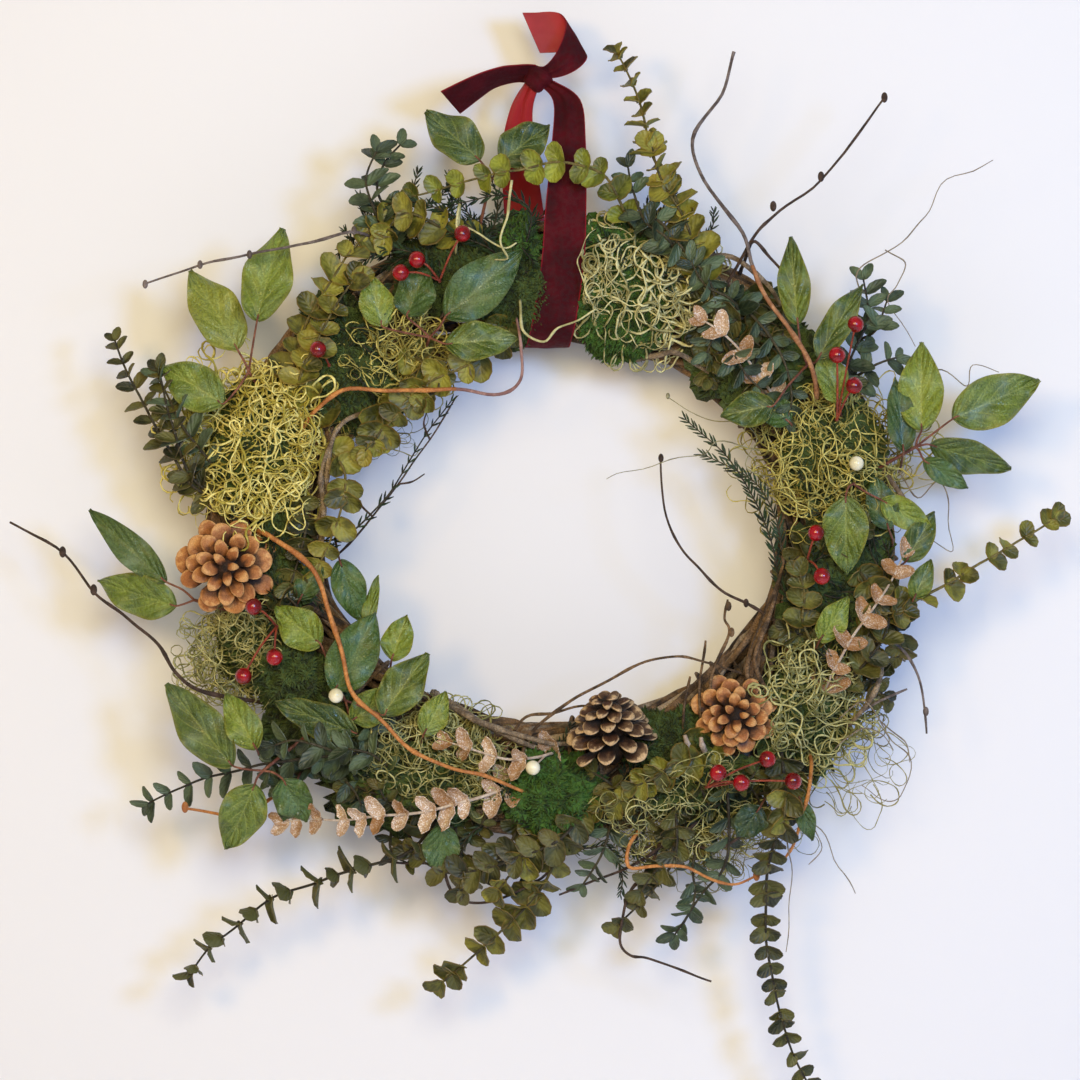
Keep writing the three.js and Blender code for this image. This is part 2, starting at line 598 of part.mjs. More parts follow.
// A cone: a slim core on a stalk, with scales set round it by the golden angle
function pineCone(cone) {
  const base = place(cone.base);
  const axis = new THREE.Vector3(cone.tilt[0], -1, cone.tilt[1]).normalize();
  const side = new THREE.Vector3(0, 0, 1).cross(axis).normalize();
  const top = axis.clone().cross(side);
  const draw = dice(cone.seed);
  const core = new THREE.SphereGeometry(1, 6, 4);
  core.rotateX(Math.PI / 2);
  const coreHalf = cone.half * CONE_CORE.half;
  const coreHeight = cone.height * CONE_CORE.height;
  core.scale(coreHalf, coreHeight, coreHalf);
  core.applyMatrix4(new THREE.Matrix4().makeBasis(side, axis.clone().negate(), top));
  const middle = base.clone().addScaledVector(axis, coreHeight);
  core.translate(middle.x, middle.y, middle.z);
  const scales = Array.from({ length: SCALES }, (_, i) => {
    const rise = i / SCALES;
    const angle = i * GOLDEN_ANGLE;
    const outward = side.clone().multiplyScalar(Math.cos(angle)).addScaledVector(top, Math.sin(angle));
    const slope = SCALE_SLOPE.base + SCALE_SLOPE.change * rise;
    const way = outward.clone().multiplyScalar(Math.cos(slope)).addScaledVector(axis, Math.sin(slope));
    const up = cone.height * (SCALE_FOOT.base + SCALE_FOOT.change * rise);
    const foot = base.clone().addScaledVector(axis, up);
    foot.addScaledVector(outward, cone.half * SCALE_FOOT.off * (1 - rise));
    const length = cone.half * (SCALE_LENGTH.base + SCALE_LENGTH.change * rise) * draw(...SCALE_SIZE);
    const tip = foot.clone().addScaledVector(way, length);
    const normal = axis.clone().multiplyScalar(Math.cos(slope)).addScaledVector(outward, -Math.sin(slope));
    const width = cone.half * (SCALE_WIDTH.base + SCALE_WIDTH.change * rise);
    return blade(foot, tip, width, normal, SCALE_FORM, GAP);
  });
  return wholeBody(joined([toSolid(core), coneStalk(cone), ...scales]));
}

function coneStalk(cone, grow = 0) {
  const top = place(cone.base).addScaledVector(FRONT, CONE_STALK.up);
  const foot = place(cone.base).addScaledVector(FRONT, -CONE_STALK.down - grow);
  return stick([top, foot], CONE_STALK.radius, 4, grow);
}

function ball(centre, radius) {
  const sphere = new THREE.SphereGeometry(radius, 6, 4);
  sphere.translate(centre.x, centre.y, centre.z);
  return toSolid(sphere);
}

// Berries on wires that part from one stalk, which leaves the ring straight forward
function berryPick(pick) {
  const fork = place([pick.root[0], pick.root[1], pick.fork]);
  const parts = pick.berries.flatMap((spot) => {
    const centre = place(spot);
    return [ball(centre, BERRY_RADIUS), stick([fork, centre], WIRE_RADIUS, 3)];
  });
  return joined([berryStalk(pick), ...parts]);
}

function berryStalk(pick, grow = 0) {
  const fork = place([pick.root[0], pick.root[1], pick.fork]);
  return stick([place(pick.root), fork], STALK_RADIUS, 3, grow);
}

// Stems are tried at their own depth first, then a little further out or in
const STEM_TRIES = [0, 2.5, 5, -2.5, 7.5, -4, 10, 12.5];

// A stem rises straight out of the ring before it turns along its route
function stemPoints(route, shift) {
  const root = place(route[0]);
  const rise = place(route[0]);
  rise.y = -ringSkin(root) - RISE;
  const rest = route.slice(1).map((spot) => place(spot).addScaledVector(FRONT, shift));
  return [root, rise, ...rest];
}

function clearStick(name, route, radius, sides) {
  const shift = STEM_TRIES.find((option) => (
    isClear(name, stick(stemPoints(route, option), radius, sides, GAP))
  )) ?? 0;
  const points = stemPoints(route, shift);
  return {
    points,
    solid: stick(points, radius, sides),
    fat: stick(points, radius, sides, GAP),
    hole: stick(points.slice(0, 2), radius, sides, HOLE_GAP),
  };
}

// The place and the heading a share of the way along a line of points
function along(points, share) {
  const lengths = points.slice(1).map((point, i) => point.distanceTo(points[i]));
  let rest = share * lengths.reduce((sum, length) => sum + length);
  let i = 0;
  while (i < lengths.length - 1 && rest > lengths[i]) {
    rest -= lengths[i];
    i += 1;
  }
  const run = points[i + 1].clone().sub(points[i]).normalize();
  return { foot: points[i].clone().addScaledVector(run, rest), run };
}

// Leaves in opposite pairs, each pair turned a quarter round from the last
const FIRST_PAIR = 0.12;
const LEAF_TRIES = [[0, 1], [0.45, 1], [-0.45, 1], [0.8, 0.9], [-0.8, 0.9], [0.3, 0.7]];

function stemLeaves(name, spray, points, seedShift) {
  const draw = dice(spray.seed + seedShift);
  const [long, wide] = spray.leaf.map((size) => size * STEP);
  const leaves = [];
  for (let pair = 0; pair < spray.pairs; pair += 1) {
    const share = FIRST_PAIR + ((1 - FIRST_PAIR) * (pair + PAIR_PLACE)) / spray.pairs;
    const { foot, run } = along(points, Math.min(share, LAST_LEAF));
    const front = FRONT.clone().addScaledVector(run, -FRONT.dot(run)).normalize();
    const side = run.clone().cross(front);
    const quarter = (pair % 2) * (1 - spray.face) * QUARTER_TURN;
    const size = 1 - LEAF_TAPER * share;
    [1, -1].forEach((hand) => {
      const turn = quarter + draw(-LEAF_TURN, LEAF_TURN);
      const scale = size * draw(...LEAF_SIZE);
      const lean = draw(...LEAF_LEAN);
      const build = ([tilt, shrink], grow) => {
        const angle = turn * hand + tilt;
        const way = side.clone().multiplyScalar(hand * Math.cos(angle));
        way.addScaledVector(front, Math.sin(angle)).addScaledVector(run, lean).normalize();
        const normal = run.clone().multiplyScalar(1 - spray.face).addScaledVector(FRONT, spray.face);
        const tip = foot.clone().addScaledVector(way, long * scale * shrink);
        return blade(foot, tip, wide * scale * shrink, normal, spray.form, grow);
      };
      const leaf = firstClear(name, LEAF_TRIES, build, leaves.slice(0, 2 * pair));
      leaves.push(leaf);
    });
  }
  return leaves.filter((leaf) => leaf !== null);
}

// Salal leaves are tried as they lie, then lifted or let down
const SALAL_TRIES = [0, 4, 8, -4, 12, 16, -8];

function salalLeaves(name, spray, junction) {
  return spray.leaves.map(([base, tip, width]) => {
    const build = (lift, grow) => {
      const foot = place([base[0], base[1], base[2] + lift * SALAL_FOLLOW]);
      const end = place([tip[0], tip[1], tip[2] + lift]);
      const way = end.clone().sub(foot).normalize();
      const heel = foot.clone().addScaledVector(way, SALAL_STALK.heel);
      const heading = heel.clone().sub(junction).normalize();
      const start = junction.clone().addScaledVector(heading, -SALAL_STALK.tuck);
      const stalk = stick([start, heel], SALAL_STALK.radius, 3, grow);
      return blade(foot, end, width * STEP, FRONT, OVATE, grow).add(stalk);
    };
    return firstClear(name, SALAL_TRIES, build);
  }).filter((leaf) => leaf !== null);
}

// Moss lies on the vines: its underside follows them and its top is broken into lumps
function mossBed(bed) {
  const draw = dice(bed.seed);
  const dome = new THREE.SphereGeometry(1, 7, 4);
  dome.rotateX(Math.PI / 2);
  const skin = mergeVertices(new THREE.BufferGeometry().setAttribute('position', dome.attributes.position)
    .setIndex(dome.index), WELD);
  const spots = skin.attributes.position;
  for (let i = 0; i < spots.count; i += 1) {
    const lump = draw(...MOSS_LUMPS.spread);
    const x = bed.at[0] + spots.getX(i) * bed.half[0] * lump;
    const y = bed.at[1] - spots.getY(i) * bed.half[1] * lump;
    const rise = (spots.getZ(i) + 1) / 2;
    const point = place([x, y, 0]);
    const height = rise * bed.height * draw(...MOSS_LUMPS.rise);
    point.y = -(ringSkin(point) + MOSS_CLEAR - bed.sink + height);
    spots.setXYZ(i, point.x, point.y, point.z);
  }
  return toSolid(skin);
}

// A curl of moss rises from the bed and dips back, a tuft stays up. Each is tried high, then lower
const CURL_TRIES = [0, -3];

function mossCurls(name, bed) {
  const draw = dice(bed.seed + 100);
  const curly = bed.strands > 0;
  const form = curly ? CURL : TUFT;
  const count = curly ? bed.strands : TUFT.count;
  const curls = Array.from({ length: count }, () => {
    const angle = draw(0, 2 * Math.PI);
    const reach = Math.sqrt(draw(...CURL_REACH));
    const x = bed.at[0] + reach * bed.half[0] * Math.cos(angle);
    const y = bed.at[1] + reach * bed.half[1] * Math.sin(angle);
    const foot = place([x, y, 0]);
    foot.y = -(ringSkin(foot) + bed.height * CURL_SINK);
    const heading = draw(0, 2 * Math.PI);
    const span = draw(...form.span);
    const height = draw(...form.height);
    const run = new THREE.Vector3(Math.cos(heading), 0, Math.sin(heading)).multiplyScalar(span);
    const top = foot.clone().addScaledVector(run, 0.5).addScaledVector(FRONT, height);
    const end = foot.clone().add(run);
    end.y = curly ? -(ringSkin(end) + bed.height * CURL_SINK) : top.y - TUFT.droop;
    const build = (lift, grow) => {
      const crest = top.clone().addScaledVector(FRONT, lift);
      return stick([foot, crest, end], form.radius, 3, grow);
    };
    return firstClear(name, CURL_TRIES, build);
  });
  return curls.filter((curl) => curl !== null);
}

// The making, from the ring outwards
const pieces = new Map();

function keep(name, colour, solids) {
  pieces.set(name, { colour, solids });
  solids.forEach((solid) => remember(name, solid));
}

const ring = grapevineRing();
const ringRoom = grapevineRing(GAP);
const holes = [];
keep('velvet_ribbon', 'velvet', [velvetRibbon()]);

Object.entries(CONES).forEach(([name, cone]) => {
  keep(name, 'cone', [pineCone(cone)]);
  holes.push(coneStalk(cone, GAP));
});

Object.entries(BERRY_PICKS).forEach(([name, pick]) => {
  keep(name, 'berry', [berryPick(pick)]);
  holes.push(berryStalk(pick, GAP));
});

const stems = new Map();
const paths = [];
Object.entries(TWIGS).forEach(([name, twig]) => {
  const { solid, fat } = clearStick(name, twig.route, twig.radius, 4);
  keep(name, 'twig', [solid]);
  holes.push(fat);
});

Object.entries(LEAFY_STEMS).forEach(([name, spray]) => {
  const made = spray.routes.map((route) => clearStick(name, route, STEM_RADIUS, 3));
  stems.set(name, made);
  const extra = [];
  if (spray.pearl) {
    const centre = place(spray.pearl);
    const tie = made[0].points[2];
    extra.push(ball(centre, PEARL_RADIUS), stick([tie, centre], WIRE_RADIUS, 3));
  }
  keep(name, spray.colour, [...made.map((stem) => stem.solid), ...extra]);
  made.forEach((stem) => {
    holes.push(stem.hole);
    paths.push(stem.fat);
  });
});

Object.entries(SALAL_SPRAYS).forEach(([name, spray]) => {
  const stem = clearStick(name, [spray.root, spray.junction], STEM_RADIUS, 3);
  stems.set(name, [stem]);
  keep(name, 'salal', [stem.solid]);
  holes.push(stem.hole);
  paths.push(stem.fat);
});

function cutBy(body, tools) {
  return wholeBody(tools.reduce((rest, tool) => (
    rest.intersect(tool).isEmpty() ? rest : rest.subtract(tool)
  ), body));
}

Object.entries(MOSS).forEach(([name, bed]) => {
  const colour = name.startsWith('curly') ? 'curly' : 'sheet';
  keep(name, colour, [cutBy(mossBed(bed), [...holes, ...paths, ringRoom])]);
});

remember('grapevine_ring', ring);

Object.entries(SALAL_SPRAYS).forEach(([name, spray]) => {
  const [stem] = stems.get(name);
  const leaves = salalLeaves(name, spray, stem.points[2]);
  keep(name, 'salal', [...pieces.get(name).solids, ...leaves]);
});

Object.entries(LEAFY_STEMS).forEach(([name, spray]) => {
  const leaves = stems.get(name).flatMap((stem, i) => stemLeaves(name, spray, stem.points, 1000 * i));
  keep(name, spray.colour, [...pieces.get(name).solids, ...leaves]);
});

Object.entries(MOSS).forEach(([name, bed]) => {
  const { colour, solids } = pieces.get(name);
  keep(name, colour, [...solids, ...mossCurls(name, bed)]);
});

pieces.set('grapevine_ring', { colour: 'grapevine', solids: [cutBy(ring, holes)] });

const wreath = new THREE.Group();
pieces.forEach(({ colour, solids }, name) => {
  const finish = new THREE.MeshStandardMaterial({ metalness: 0, ...COLOURS[colour] });
  const mesh = new THREE.Mesh(toGeometry(tidy(joined(solids))), finish);
  mesh.name = name;
  wreath.add(mesh);
});

export default wreath;
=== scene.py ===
"""A hanging wreath of preserved eucalyptus, salal, cedar, moss, pine cones and berries on a vine ring.

Every piece is modelled in metres in the wreath's own frame: +Z is up, the wreath faces -Y, and the
origin is the top of the ribbon loop. The front is laid out on a grid of steps, x to the right and y down,
and a spot on it is (x, y, out), with out the distance in millimetres in front of the ring's own plane.
"""

import logging
import math
from collections.abc import Callable, Iterable, Sequence
from dataclasses import dataclass
from enum import Enum

import bmesh
import bpy
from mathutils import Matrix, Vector, noise


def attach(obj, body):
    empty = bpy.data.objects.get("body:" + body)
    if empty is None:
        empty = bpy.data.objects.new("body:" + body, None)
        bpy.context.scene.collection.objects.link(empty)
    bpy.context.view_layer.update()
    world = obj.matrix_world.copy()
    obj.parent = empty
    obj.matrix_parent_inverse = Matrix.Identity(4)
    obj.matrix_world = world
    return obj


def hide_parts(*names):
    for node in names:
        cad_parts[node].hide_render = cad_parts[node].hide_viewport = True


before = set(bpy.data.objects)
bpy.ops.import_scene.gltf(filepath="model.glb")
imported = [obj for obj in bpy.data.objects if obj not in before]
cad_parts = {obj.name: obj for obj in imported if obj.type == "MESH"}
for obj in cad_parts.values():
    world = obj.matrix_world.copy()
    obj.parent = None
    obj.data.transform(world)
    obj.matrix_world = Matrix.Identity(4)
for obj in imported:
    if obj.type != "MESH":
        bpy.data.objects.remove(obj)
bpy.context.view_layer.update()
log = logging.getLogger("wreath")

MM = 0.001
RIBBON_WIDTH = 25 * MM
STEP = RIBBON_WIDTH / 44.6
LOOP_TOP = (541, 88)
FRONT = Vector((0, -1, 0))
UV_NAME = "leaf"
GOLDEN_ANGLE = math.pi * (3 - math.sqrt(5))
FULL_TURN = 2 * math.pi
WELD = 1e-6
PEARL_RADIUS = 4.1 * MM

Spot = tuple[float, float, float]
Range = tuple[float, float]
Socket = bpy.types.NodeSocket


def place(spot: Spot) -> Vector:
    """Turns a spot of the front's grid into a point in metres.

    Args:
        spot: x and y in steps, and the distance in front of the ring's plane in millimetres.

    Returns:
        The point in the wreath's frame.
    """
    x, y, out = spot
    return Vector(((x - LOOP_TOP[0]) * STEP, -out * MM, (LOOP_TOP[1] - y) * STEP))


class Dice:
    """Numbers that look random and repeat on every run."""

    factor = 16807
    modulus = 2147483647
    seeds_apart = 7919
    first = 17

    def __init__(self, seed: int) -> None:
        """Starts the run of numbers that belongs to a seed."""
        self.state = seed * self.seeds_apart + self.first

    def draw(self, low: float, high: float) -> float:
        """Gives the next number between low and high."""
        self.state = self.state * self.factor % self.modulus
        return low + (high - low) * self.state / self.modulus

    def toss(self, size: float) -> Vector:
        """Gives a vector with each of its parts between -size and size."""
        return Vector((self.draw(-size, size), self.draw(-size, size), self.draw(-size, size)))


class Course:
    """A smooth line through a few points, which can be walked by its length."""

    calm_root = 20 * MM
    seeds_apart = 7.3
    noise_rows = (0.5, 31.5, 62.5)

    def __init__(self, points: Sequence[Vector], per_span: int = 5) -> None:
        """Rounds the line off between its points.

        Args:
            points: The points that the line passes through.
            per_span: How many short pieces lie between two points.
        """
        ends = [points[0], *points, points[-1]]
        self.points: list[Vector] = []
        for before, here, there, after in zip(ends, ends[1:], ends[2:], ends[3:]):
            for k in range(per_span):
                t = k / per_span
                bend = (2 * before - 5 * here + 4 * there - after) * t * t
                bend += (3 * here - before - 3 * there + after) * t**3
                self.points.append((2 * here + (there - before) * t + bend) * 0.5)
        self.points.append(points[-1].copy())
        self.spans = [(b - a).length for a, b in zip(self.points, self.points[1:])]
        self.length = sum(self.spans)

    def at(self, share: float) -> tuple[Vector, Vector]:
        """Gives the place and the heading a share of the way along.

        Args:
            share: From 0 at the root to 1 at the tip.

        Returns:
            The point and the unit vector along the line there.
        """
        rest = share * self.length
        i = 0
        while i < len(self.spans) - 1 and rest > self.spans[i]:
            rest -= self.spans[i]
            i += 1
        run = (self.points[i + 1] - self.points[i]).normalized()
        return self.points[i] + run * rest, run

    def shaken(self, size: float, fineness: float, seed: float) -> list[Vector]:
        """Gives the line's points with a slow natural wander, none of it at the root.

        Args:
            size: How far the line wanders, in metres.
            fineness: How many wanders there are in a metre.
            seed: Which wander it is.

        Returns:
            The moved points.
        """
        moved = []
        walked = 0.0
        for point, span in zip(self.points, [0.0, *self.spans]):
            walked += span
            at = (walked * fineness, seed * self.seeds_apart)
            drift = Vector([noise.noise(Vector((*at, row))) for row in self.noise_rows])
            moved.append(point + drift * size * min(1.0, walked / self.calm_root))
        return moved


def colour(code: int) -> tuple[float, float, float, float]:
    """Turns a colour into the linear numbers that shaders take.

    Args:
        code: The colour as 0xRRGGBB.

    Returns:
        Its red, green and blue, and a full alpha.
    """
    parts = [(code >> shift & 255) / 255 for shift in (16, 8, 0)]
    red, green, blue = (p / 12.92 if p <= 0.04045 else ((p + 0.055) / 1.055) ** 2.4 for p in parts)
    return red, green, blue, 1.0


class Board:
    """A node tree with short ways to add and join its nodes."""

    def __init__(self, tree: bpy.types.NodeTree) -> None:
        """Takes hold of a tree."""
        self.tree = tree

    def feed(self, socket: Socket, value: "Socket | float | Sequence[float] | int") -> None:
        """Links a socket to another, or sets its own value."""
        if isinstance(value, bpy.types.NodeSocket):
            self.tree.links.new(value, socket)
        else:
            socket.default_value = value

    def add(self, kind: str, inputs: dict | None = None, **settings: object) -> bpy.types.Node:
        """Adds a node.

        Args:
            kind: The node's type name.
            inputs: Values or sockets for its inputs, by name or number.
            **settings: Its own properties.

        Returns:
            The new node.
        """
        node = self.tree.nodes.new(kind)
        for key, value in settings.items():
            setattr(node, key, value)
        for key, value in (inputs or {}).items():
            self.feed(node.inputs[key], value)
        return node

    def mix(self, share: "Socket | float", first: object, second: object) -> Socket:
        """Mixes two colours.

        Args:
            share: How much of the second there is.
            first: The first colour, as a socket or as numbers.
            second: The second colour.

        Returns:
            The mixed colour.
        """
        node = self.add("ShaderNodeMix", data_type="RGBA")
        for index, value in ((0, share), (6, first), (7, second)):
            self.feed(node.inputs[index], value)
        return node.outputs[2]

    def maths(self, operation: str, *values: "Socket | float") -> Socket:
        """Works out one operation on numbers."""
        return self.add("ShaderNodeMath", dict(enumerate(values)), operation=operation).outputs[0]

    def times(self, first: "Socket | float", second: "Socket | float") -> Socket:
        """Multiplies two numbers."""
        return self.maths("MULTIPLY", first, second)

    def off_middle(self, value: Socket) -> Socket:
        """Gives how far a number that runs from 0 to 1 is from its middle."""
        return self.maths("ABSOLUTE", self.maths("SUBTRACT", value, 0.5))

    def fade(self, value: Socket, low: float, high: float, start: float = 0, end: float = 1) -> Socket:
        """Maps one range onto another, smoothly.

        Args:
            value: The number that runs through the range.
            low: Where the range begins.
            high: Where it ends.
            start: What it gives up to low.
            end: What it gives from high on.

        Returns:
            The mapped number.
        """
        inputs = {0: value, 1: low, 2: high, 3: start, 4: end}
        return self.add("ShaderNodeMapRange", inputs, interpolation_type="SMOOTHSTEP").outputs[0]

    def group(self, tree: bpy.types.NodeTree, **inputs: object) -> bpy.types.Node:
        """Places a node group with its own values."""
        return self.add("ShaderNodeGroup", inputs, node_tree=tree)


def shader_group(
    name: str, inputs: dict[str, str], outputs: Sequence[str], wire: Callable[[Board, dict, dict], None]
) -> bpy.types.NodeTree:
    """Builds a node group once, and gives the same one after that.

    Args:
        name: The group's name.
        inputs: Its inputs, each with the socket type.
        outputs: Its outputs, all of them numbers.
        wire: Fills the group from its input sockets to its output sockets.

    Returns:
        The group's tree.
    """
    if name in bpy.data.node_groups:
        return bpy.data.node_groups[name]
    tree = bpy.data.node_groups.new(name, "ShaderNodeTree")
    for label, kind in inputs.items():
        tree.interface.new_socket(label, in_out="INPUT", socket_type=kind)
    for label in outputs:
        tree.interface.new_socket(label, in_out="OUTPUT", socket_type="NodeSocketFloat")
    board = Board(tree)
    given = board.add("NodeGroupInput").outputs
    wanted = board.add("NodeGroupOutput").inputs
    wire(board, given, wanted)
    return tree


def mottle_group() -> bpy.types.NodeTree:
    """Soft patches and fine specks, from any place in space."""

    def wire(board: Board, given: dict, wanted: dict) -> None:
        """Lays broad noise for the patches and fine noise for the specks."""
        vector, scale = given["Vector"], given["Scale"]
        fine = board.times(scale, 7.0)
        broad = board.add("ShaderNodeTexNoise", {"Vector": vector, "Scale": scale, "Detail": 3.0})
        small = board.add("ShaderNodeTexNoise", {"Vector": vector, "Scale": fine, "Detail": 2.0})
        board.feed(wanted["Patches"], board.fade(broad.outputs[0], 0.36, 0.64))
        board.feed(wanted["Specks"], board.fade(small.outputs[0], 0.38, 0.66))

    return shader_group(
        "mottle", {"Vector": "NodeSocketVector", "Scale": "NodeSocketFloat"}, ("Patches", "Specks"), wire
    )


def vein_group() -> bpy.types.NodeTree:
    """A midrib with slanting side veins on a leaf's own UV map, and the blade raised between them."""

    def wire(board: Board, given: dict, wanted: dict) -> None:
        """Draws the midrib and the side veins, and the height of the blade between them."""
        parts = board.add("ShaderNodeSeparateXYZ", {0: given["Vector"]}).outputs
        side = board.times(board.off_middle(parts[1]), 2.0)
        slanted = board.maths("SUBTRACT", parts[0], board.times(side, given["Slant"]))
        phase = board.times(slanted, given["Pairs"])
        between = board.times(board.maths("PINGPONG", phase, 0.5), 2.0)
        thin = board.fade(between, 0.0, 0.22, 1.0, 0.0)
        fading = board.times(thin, board.maths("SUBTRACT", 1.0, board.maths("POWER", side, 2.0)))
        midrib = board.fade(side, 0.0, 0.07, 1.0, 0.0)
        board.feed(wanted["Veins"], board.maths("MAXIMUM", fading, midrib))
        raised = board.times(between, board.fade(side, 0.0, 0.2))
        board.feed(wanted["Quilt"], raised)

    sockets = {"Vector": "NodeSocketVector", "Pairs": "NodeSocketFloat", "Slant": "NodeSocketFloat"}
    return shader_group("leaf veins", sockets, ("Veins", "Quilt"), wire)


def frost_group() -> bpy.types.NodeTree:
    """Grains of glitter: each grain has its own chance to shine."""

    def wire(board: Board, given: dict, wanted: dict) -> None:
        """Splits space into grains and gives each one its chance."""
        grains = board.add("ShaderNodeTexVoronoi", {"Vector": given["Vector"], "Scale": given["Scale"]})
        chance = board.add("ShaderNodeSeparateColor", {0: grains.outputs["Color"]}).outputs
        board.feed(wanted["Sparkle"], board.fade(chance[0], 0.62, 0.9))
        board.feed(wanted["Grain"], chance[1])

    sockets = {"Vector": "NodeSocketVector", "Scale": "NodeSocketFloat"}
    return shader_group("frost", sockets, ("Sparkle", "Grain"), wire)


@dataclass(frozen=True)
class Finish:
    """What a piece is covered with. Each kind of finish wires its own material."""

    name: str

    def material(self) -> bpy.types.Material:
        """Gives this finish's material.

        Returns:
            The material, made the first time it is asked for.
        """
        if self.name in bpy.data.materials:
            return bpy.data.materials[self.name]
        made = bpy.data.materials.new(self.name)
        made.use_nodes = True
        self.wire(Board(made.node_tree), made.node_tree.nodes["Principled BSDF"])
        return made

    def wire(self, board: Board, skin: bpy.types.Node) -> None:
        """Joins the finish's pattern to the shader; each kind of finish has its own.

        Args:
            board: The material's node tree.
            skin: Its surface shader.
        """
        raise NotImplementedError

    @staticmethod
    def here(board: Board) -> Socket:
        """The place on the piece in its own coordinates."""
        return board.add("ShaderNodeTexCoord").outputs["Object"]

    def mottle(self, board: Board, scale: float) -> bpy.types.Node:
        """Patches and specks on the piece, with a number of patches in a metre."""
        return board.group(mottle_group(), Vector=self.here(board), Scale=scale)

    @staticmethod
    def leaf_map(board: Board) -> Socket:
        """The place along and across a leaf, scale or band."""
        return board.add("ShaderNodeUVMap", uv_map=UV_NAME).outputs[0]

    @staticmethod
    def mark(board: Board, name: str) -> Socket:
        """A number that each face of the piece carries."""
        return board.add("ShaderNodeAttribute", attribute_name=name).outputs["Fac"]

    def tinted(self, board: Board, mottle: bpy.types.Node, amount: float) -> Socket:
        """Shifts the tint of each face from patch to patch.

        Args:
            board: The material's node tree.
            mottle: The patches.
            amount: How far the patches shift it.

        Returns:
            The shifted tint.
        """
        shift = board.maths("MULTIPLY_ADD", mottle.outputs["Patches"], amount, -amount / 2)
        return board.maths("ADD", shift, self.mark(board, "tint"))

    @staticmethod
    def speckled(board: Board, mottle: bpy.types.Node, amount: float, tone: Socket, speck: int) -> Socket:
        """Lays fine specks of a colour over a tone."""
        return board.mix(board.times(mottle.outputs["Specks"], amount), tone, colour(speck))

    @staticmethod
    def dull(board: Board, skin: bpy.types.Node, pattern: Socket, low: float, high: float) -> None:
        """Lets the roughness follow a pattern from low to high."""
        board.feed(skin.inputs["Roughness"], board.fade(pattern, 0.0, 1.0, low, high))

    @staticmethod
    def brush(skin: bpy.types.Node, sheen: float, roughness: float, tint: int) -> None:
        """Gives the shader the soft light that lies on a pile or on fine threads.

        Args:
            skin: The surface shader.
            sheen: How much of that light there is.
            roughness: How widely it spreads.
            tint: Its colour.
        """
        skin.inputs["Sheen Weight"].default_value = sheen
        skin.inputs["Sheen Roughness"].default_value = roughness
        skin.inputs["Sheen Tint"].default_value = colour(tint)

    @staticmethod
    def raise_up(board: Board, skin: bpy.types.Node, height: Socket, size: float) -> None:
        """Gives the shader a bump.

        Args:
            board: The material's node tree.
            skin: Its surface shader.
            height: The pattern that is raised.
            size: The height of its full value, in metres.
        """
        inputs = {"Height": height, "Distance": size, "Strength": 1.0}
        board.feed(skin.inputs["Normal"], board.add("ShaderNodeBump", inputs).outputs[0])


@dataclass(frozen=True)
class LeafFinish(Finish):
    """A leaf's skin, from its deep to its fresh green, with veins, worn edges, painted sheen patches and a
    duller underside.
    """

    deep: int
    fresh: int
    vein: int
    worn: int
    under: int
    pairs: float = 5.0
    slant: float = 0.35
    veining: float = 0.3
    relief: float = 0.25
    roughness: float = 0.5
    coat: float = 0.0
    painted_sheen: int = 0x8FA890
    painted_sheen_share: float = 0.15
    mottling: float = 0.5
    crinkle: float = 0.25
    grain: float = 110.0
    painted_sheen_grain: float = 60.0
    ageing: float = 0.6
    specks: float = 0.22
    rim: float = 0.45
    underside: float = 0.75
    smoother: float = 0.07
    duller: float = 0.09
    coat_roughness: float = 0.35

    def wire(self, board: Board, skin: bpy.types.Node) -> None:
        """Mixes the greens by leaf and by patch, paints broad patches of sheen, then lays the veins and edges
        over them.
        """
        mottle = self.mottle(board, self.grain)
        uv = self.leaf_map(board)
        veins = board.group(vein_group(), Vector=uv, Pairs=self.pairs, Slant=self.slant)
        share = board.fade(self.tinted(board, mottle, self.mottling), 0.0, 1.0)
        green = board.mix(share, colour(self.deep), colour(self.fresh))
        aged = board.times(board.fade(self.mark(board, "tint"), 0.78, 0.98), self.ageing)
        green = board.mix(aged, green, colour(self.worn))
        # Painted sheen: broad pale patches stand for the gloss that light lays on the leaves.
        inputs = {"Vector": self.here(board), "Scale": self.painted_sheen_grain, "Detail": 1.0}
        broad = board.add("ShaderNodeTexNoise", inputs)
        painted_sheen = board.times(board.fade(broad.outputs[0], 0.5, 0.68), self.painted_sheen_share)
        green = board.mix(painted_sheen, green, colour(self.painted_sheen))
        green = self.speckled(board, mottle, self.specks, green, self.deep)
        parts = board.add("ShaderNodeSeparateXYZ", {0: uv}).outputs
        rim = board.times(board.fade(board.off_middle(parts[1]), 0.4, 0.5), self.rim)
        green = board.mix(rim, green, colour(self.worn))
        below = board.times(self.mark(board, "under"), self.underside)
        green = board.mix(below, green, colour(self.under))
        lines = board.times(veins.outputs["Veins"], self.veining)
        board.feed(skin.inputs["Base Color"], board.mix(lines, green, colour(self.vein)))
        low, high = self.roughness - self.smoother, self.roughness + self.duller
        self.dull(board, skin, mottle.outputs["Patches"], low, high)
        skin.inputs["Coat Weight"].default_value = self.coat
        skin.inputs["Coat Roughness"].default_value = self.coat_roughness
        height = board.maths("MULTIPLY_ADD", mottle.outputs["Specks"], self.crinkle, veins.outputs["Quilt"])
        self.raise_up(board, skin, height, self.relief * MM)


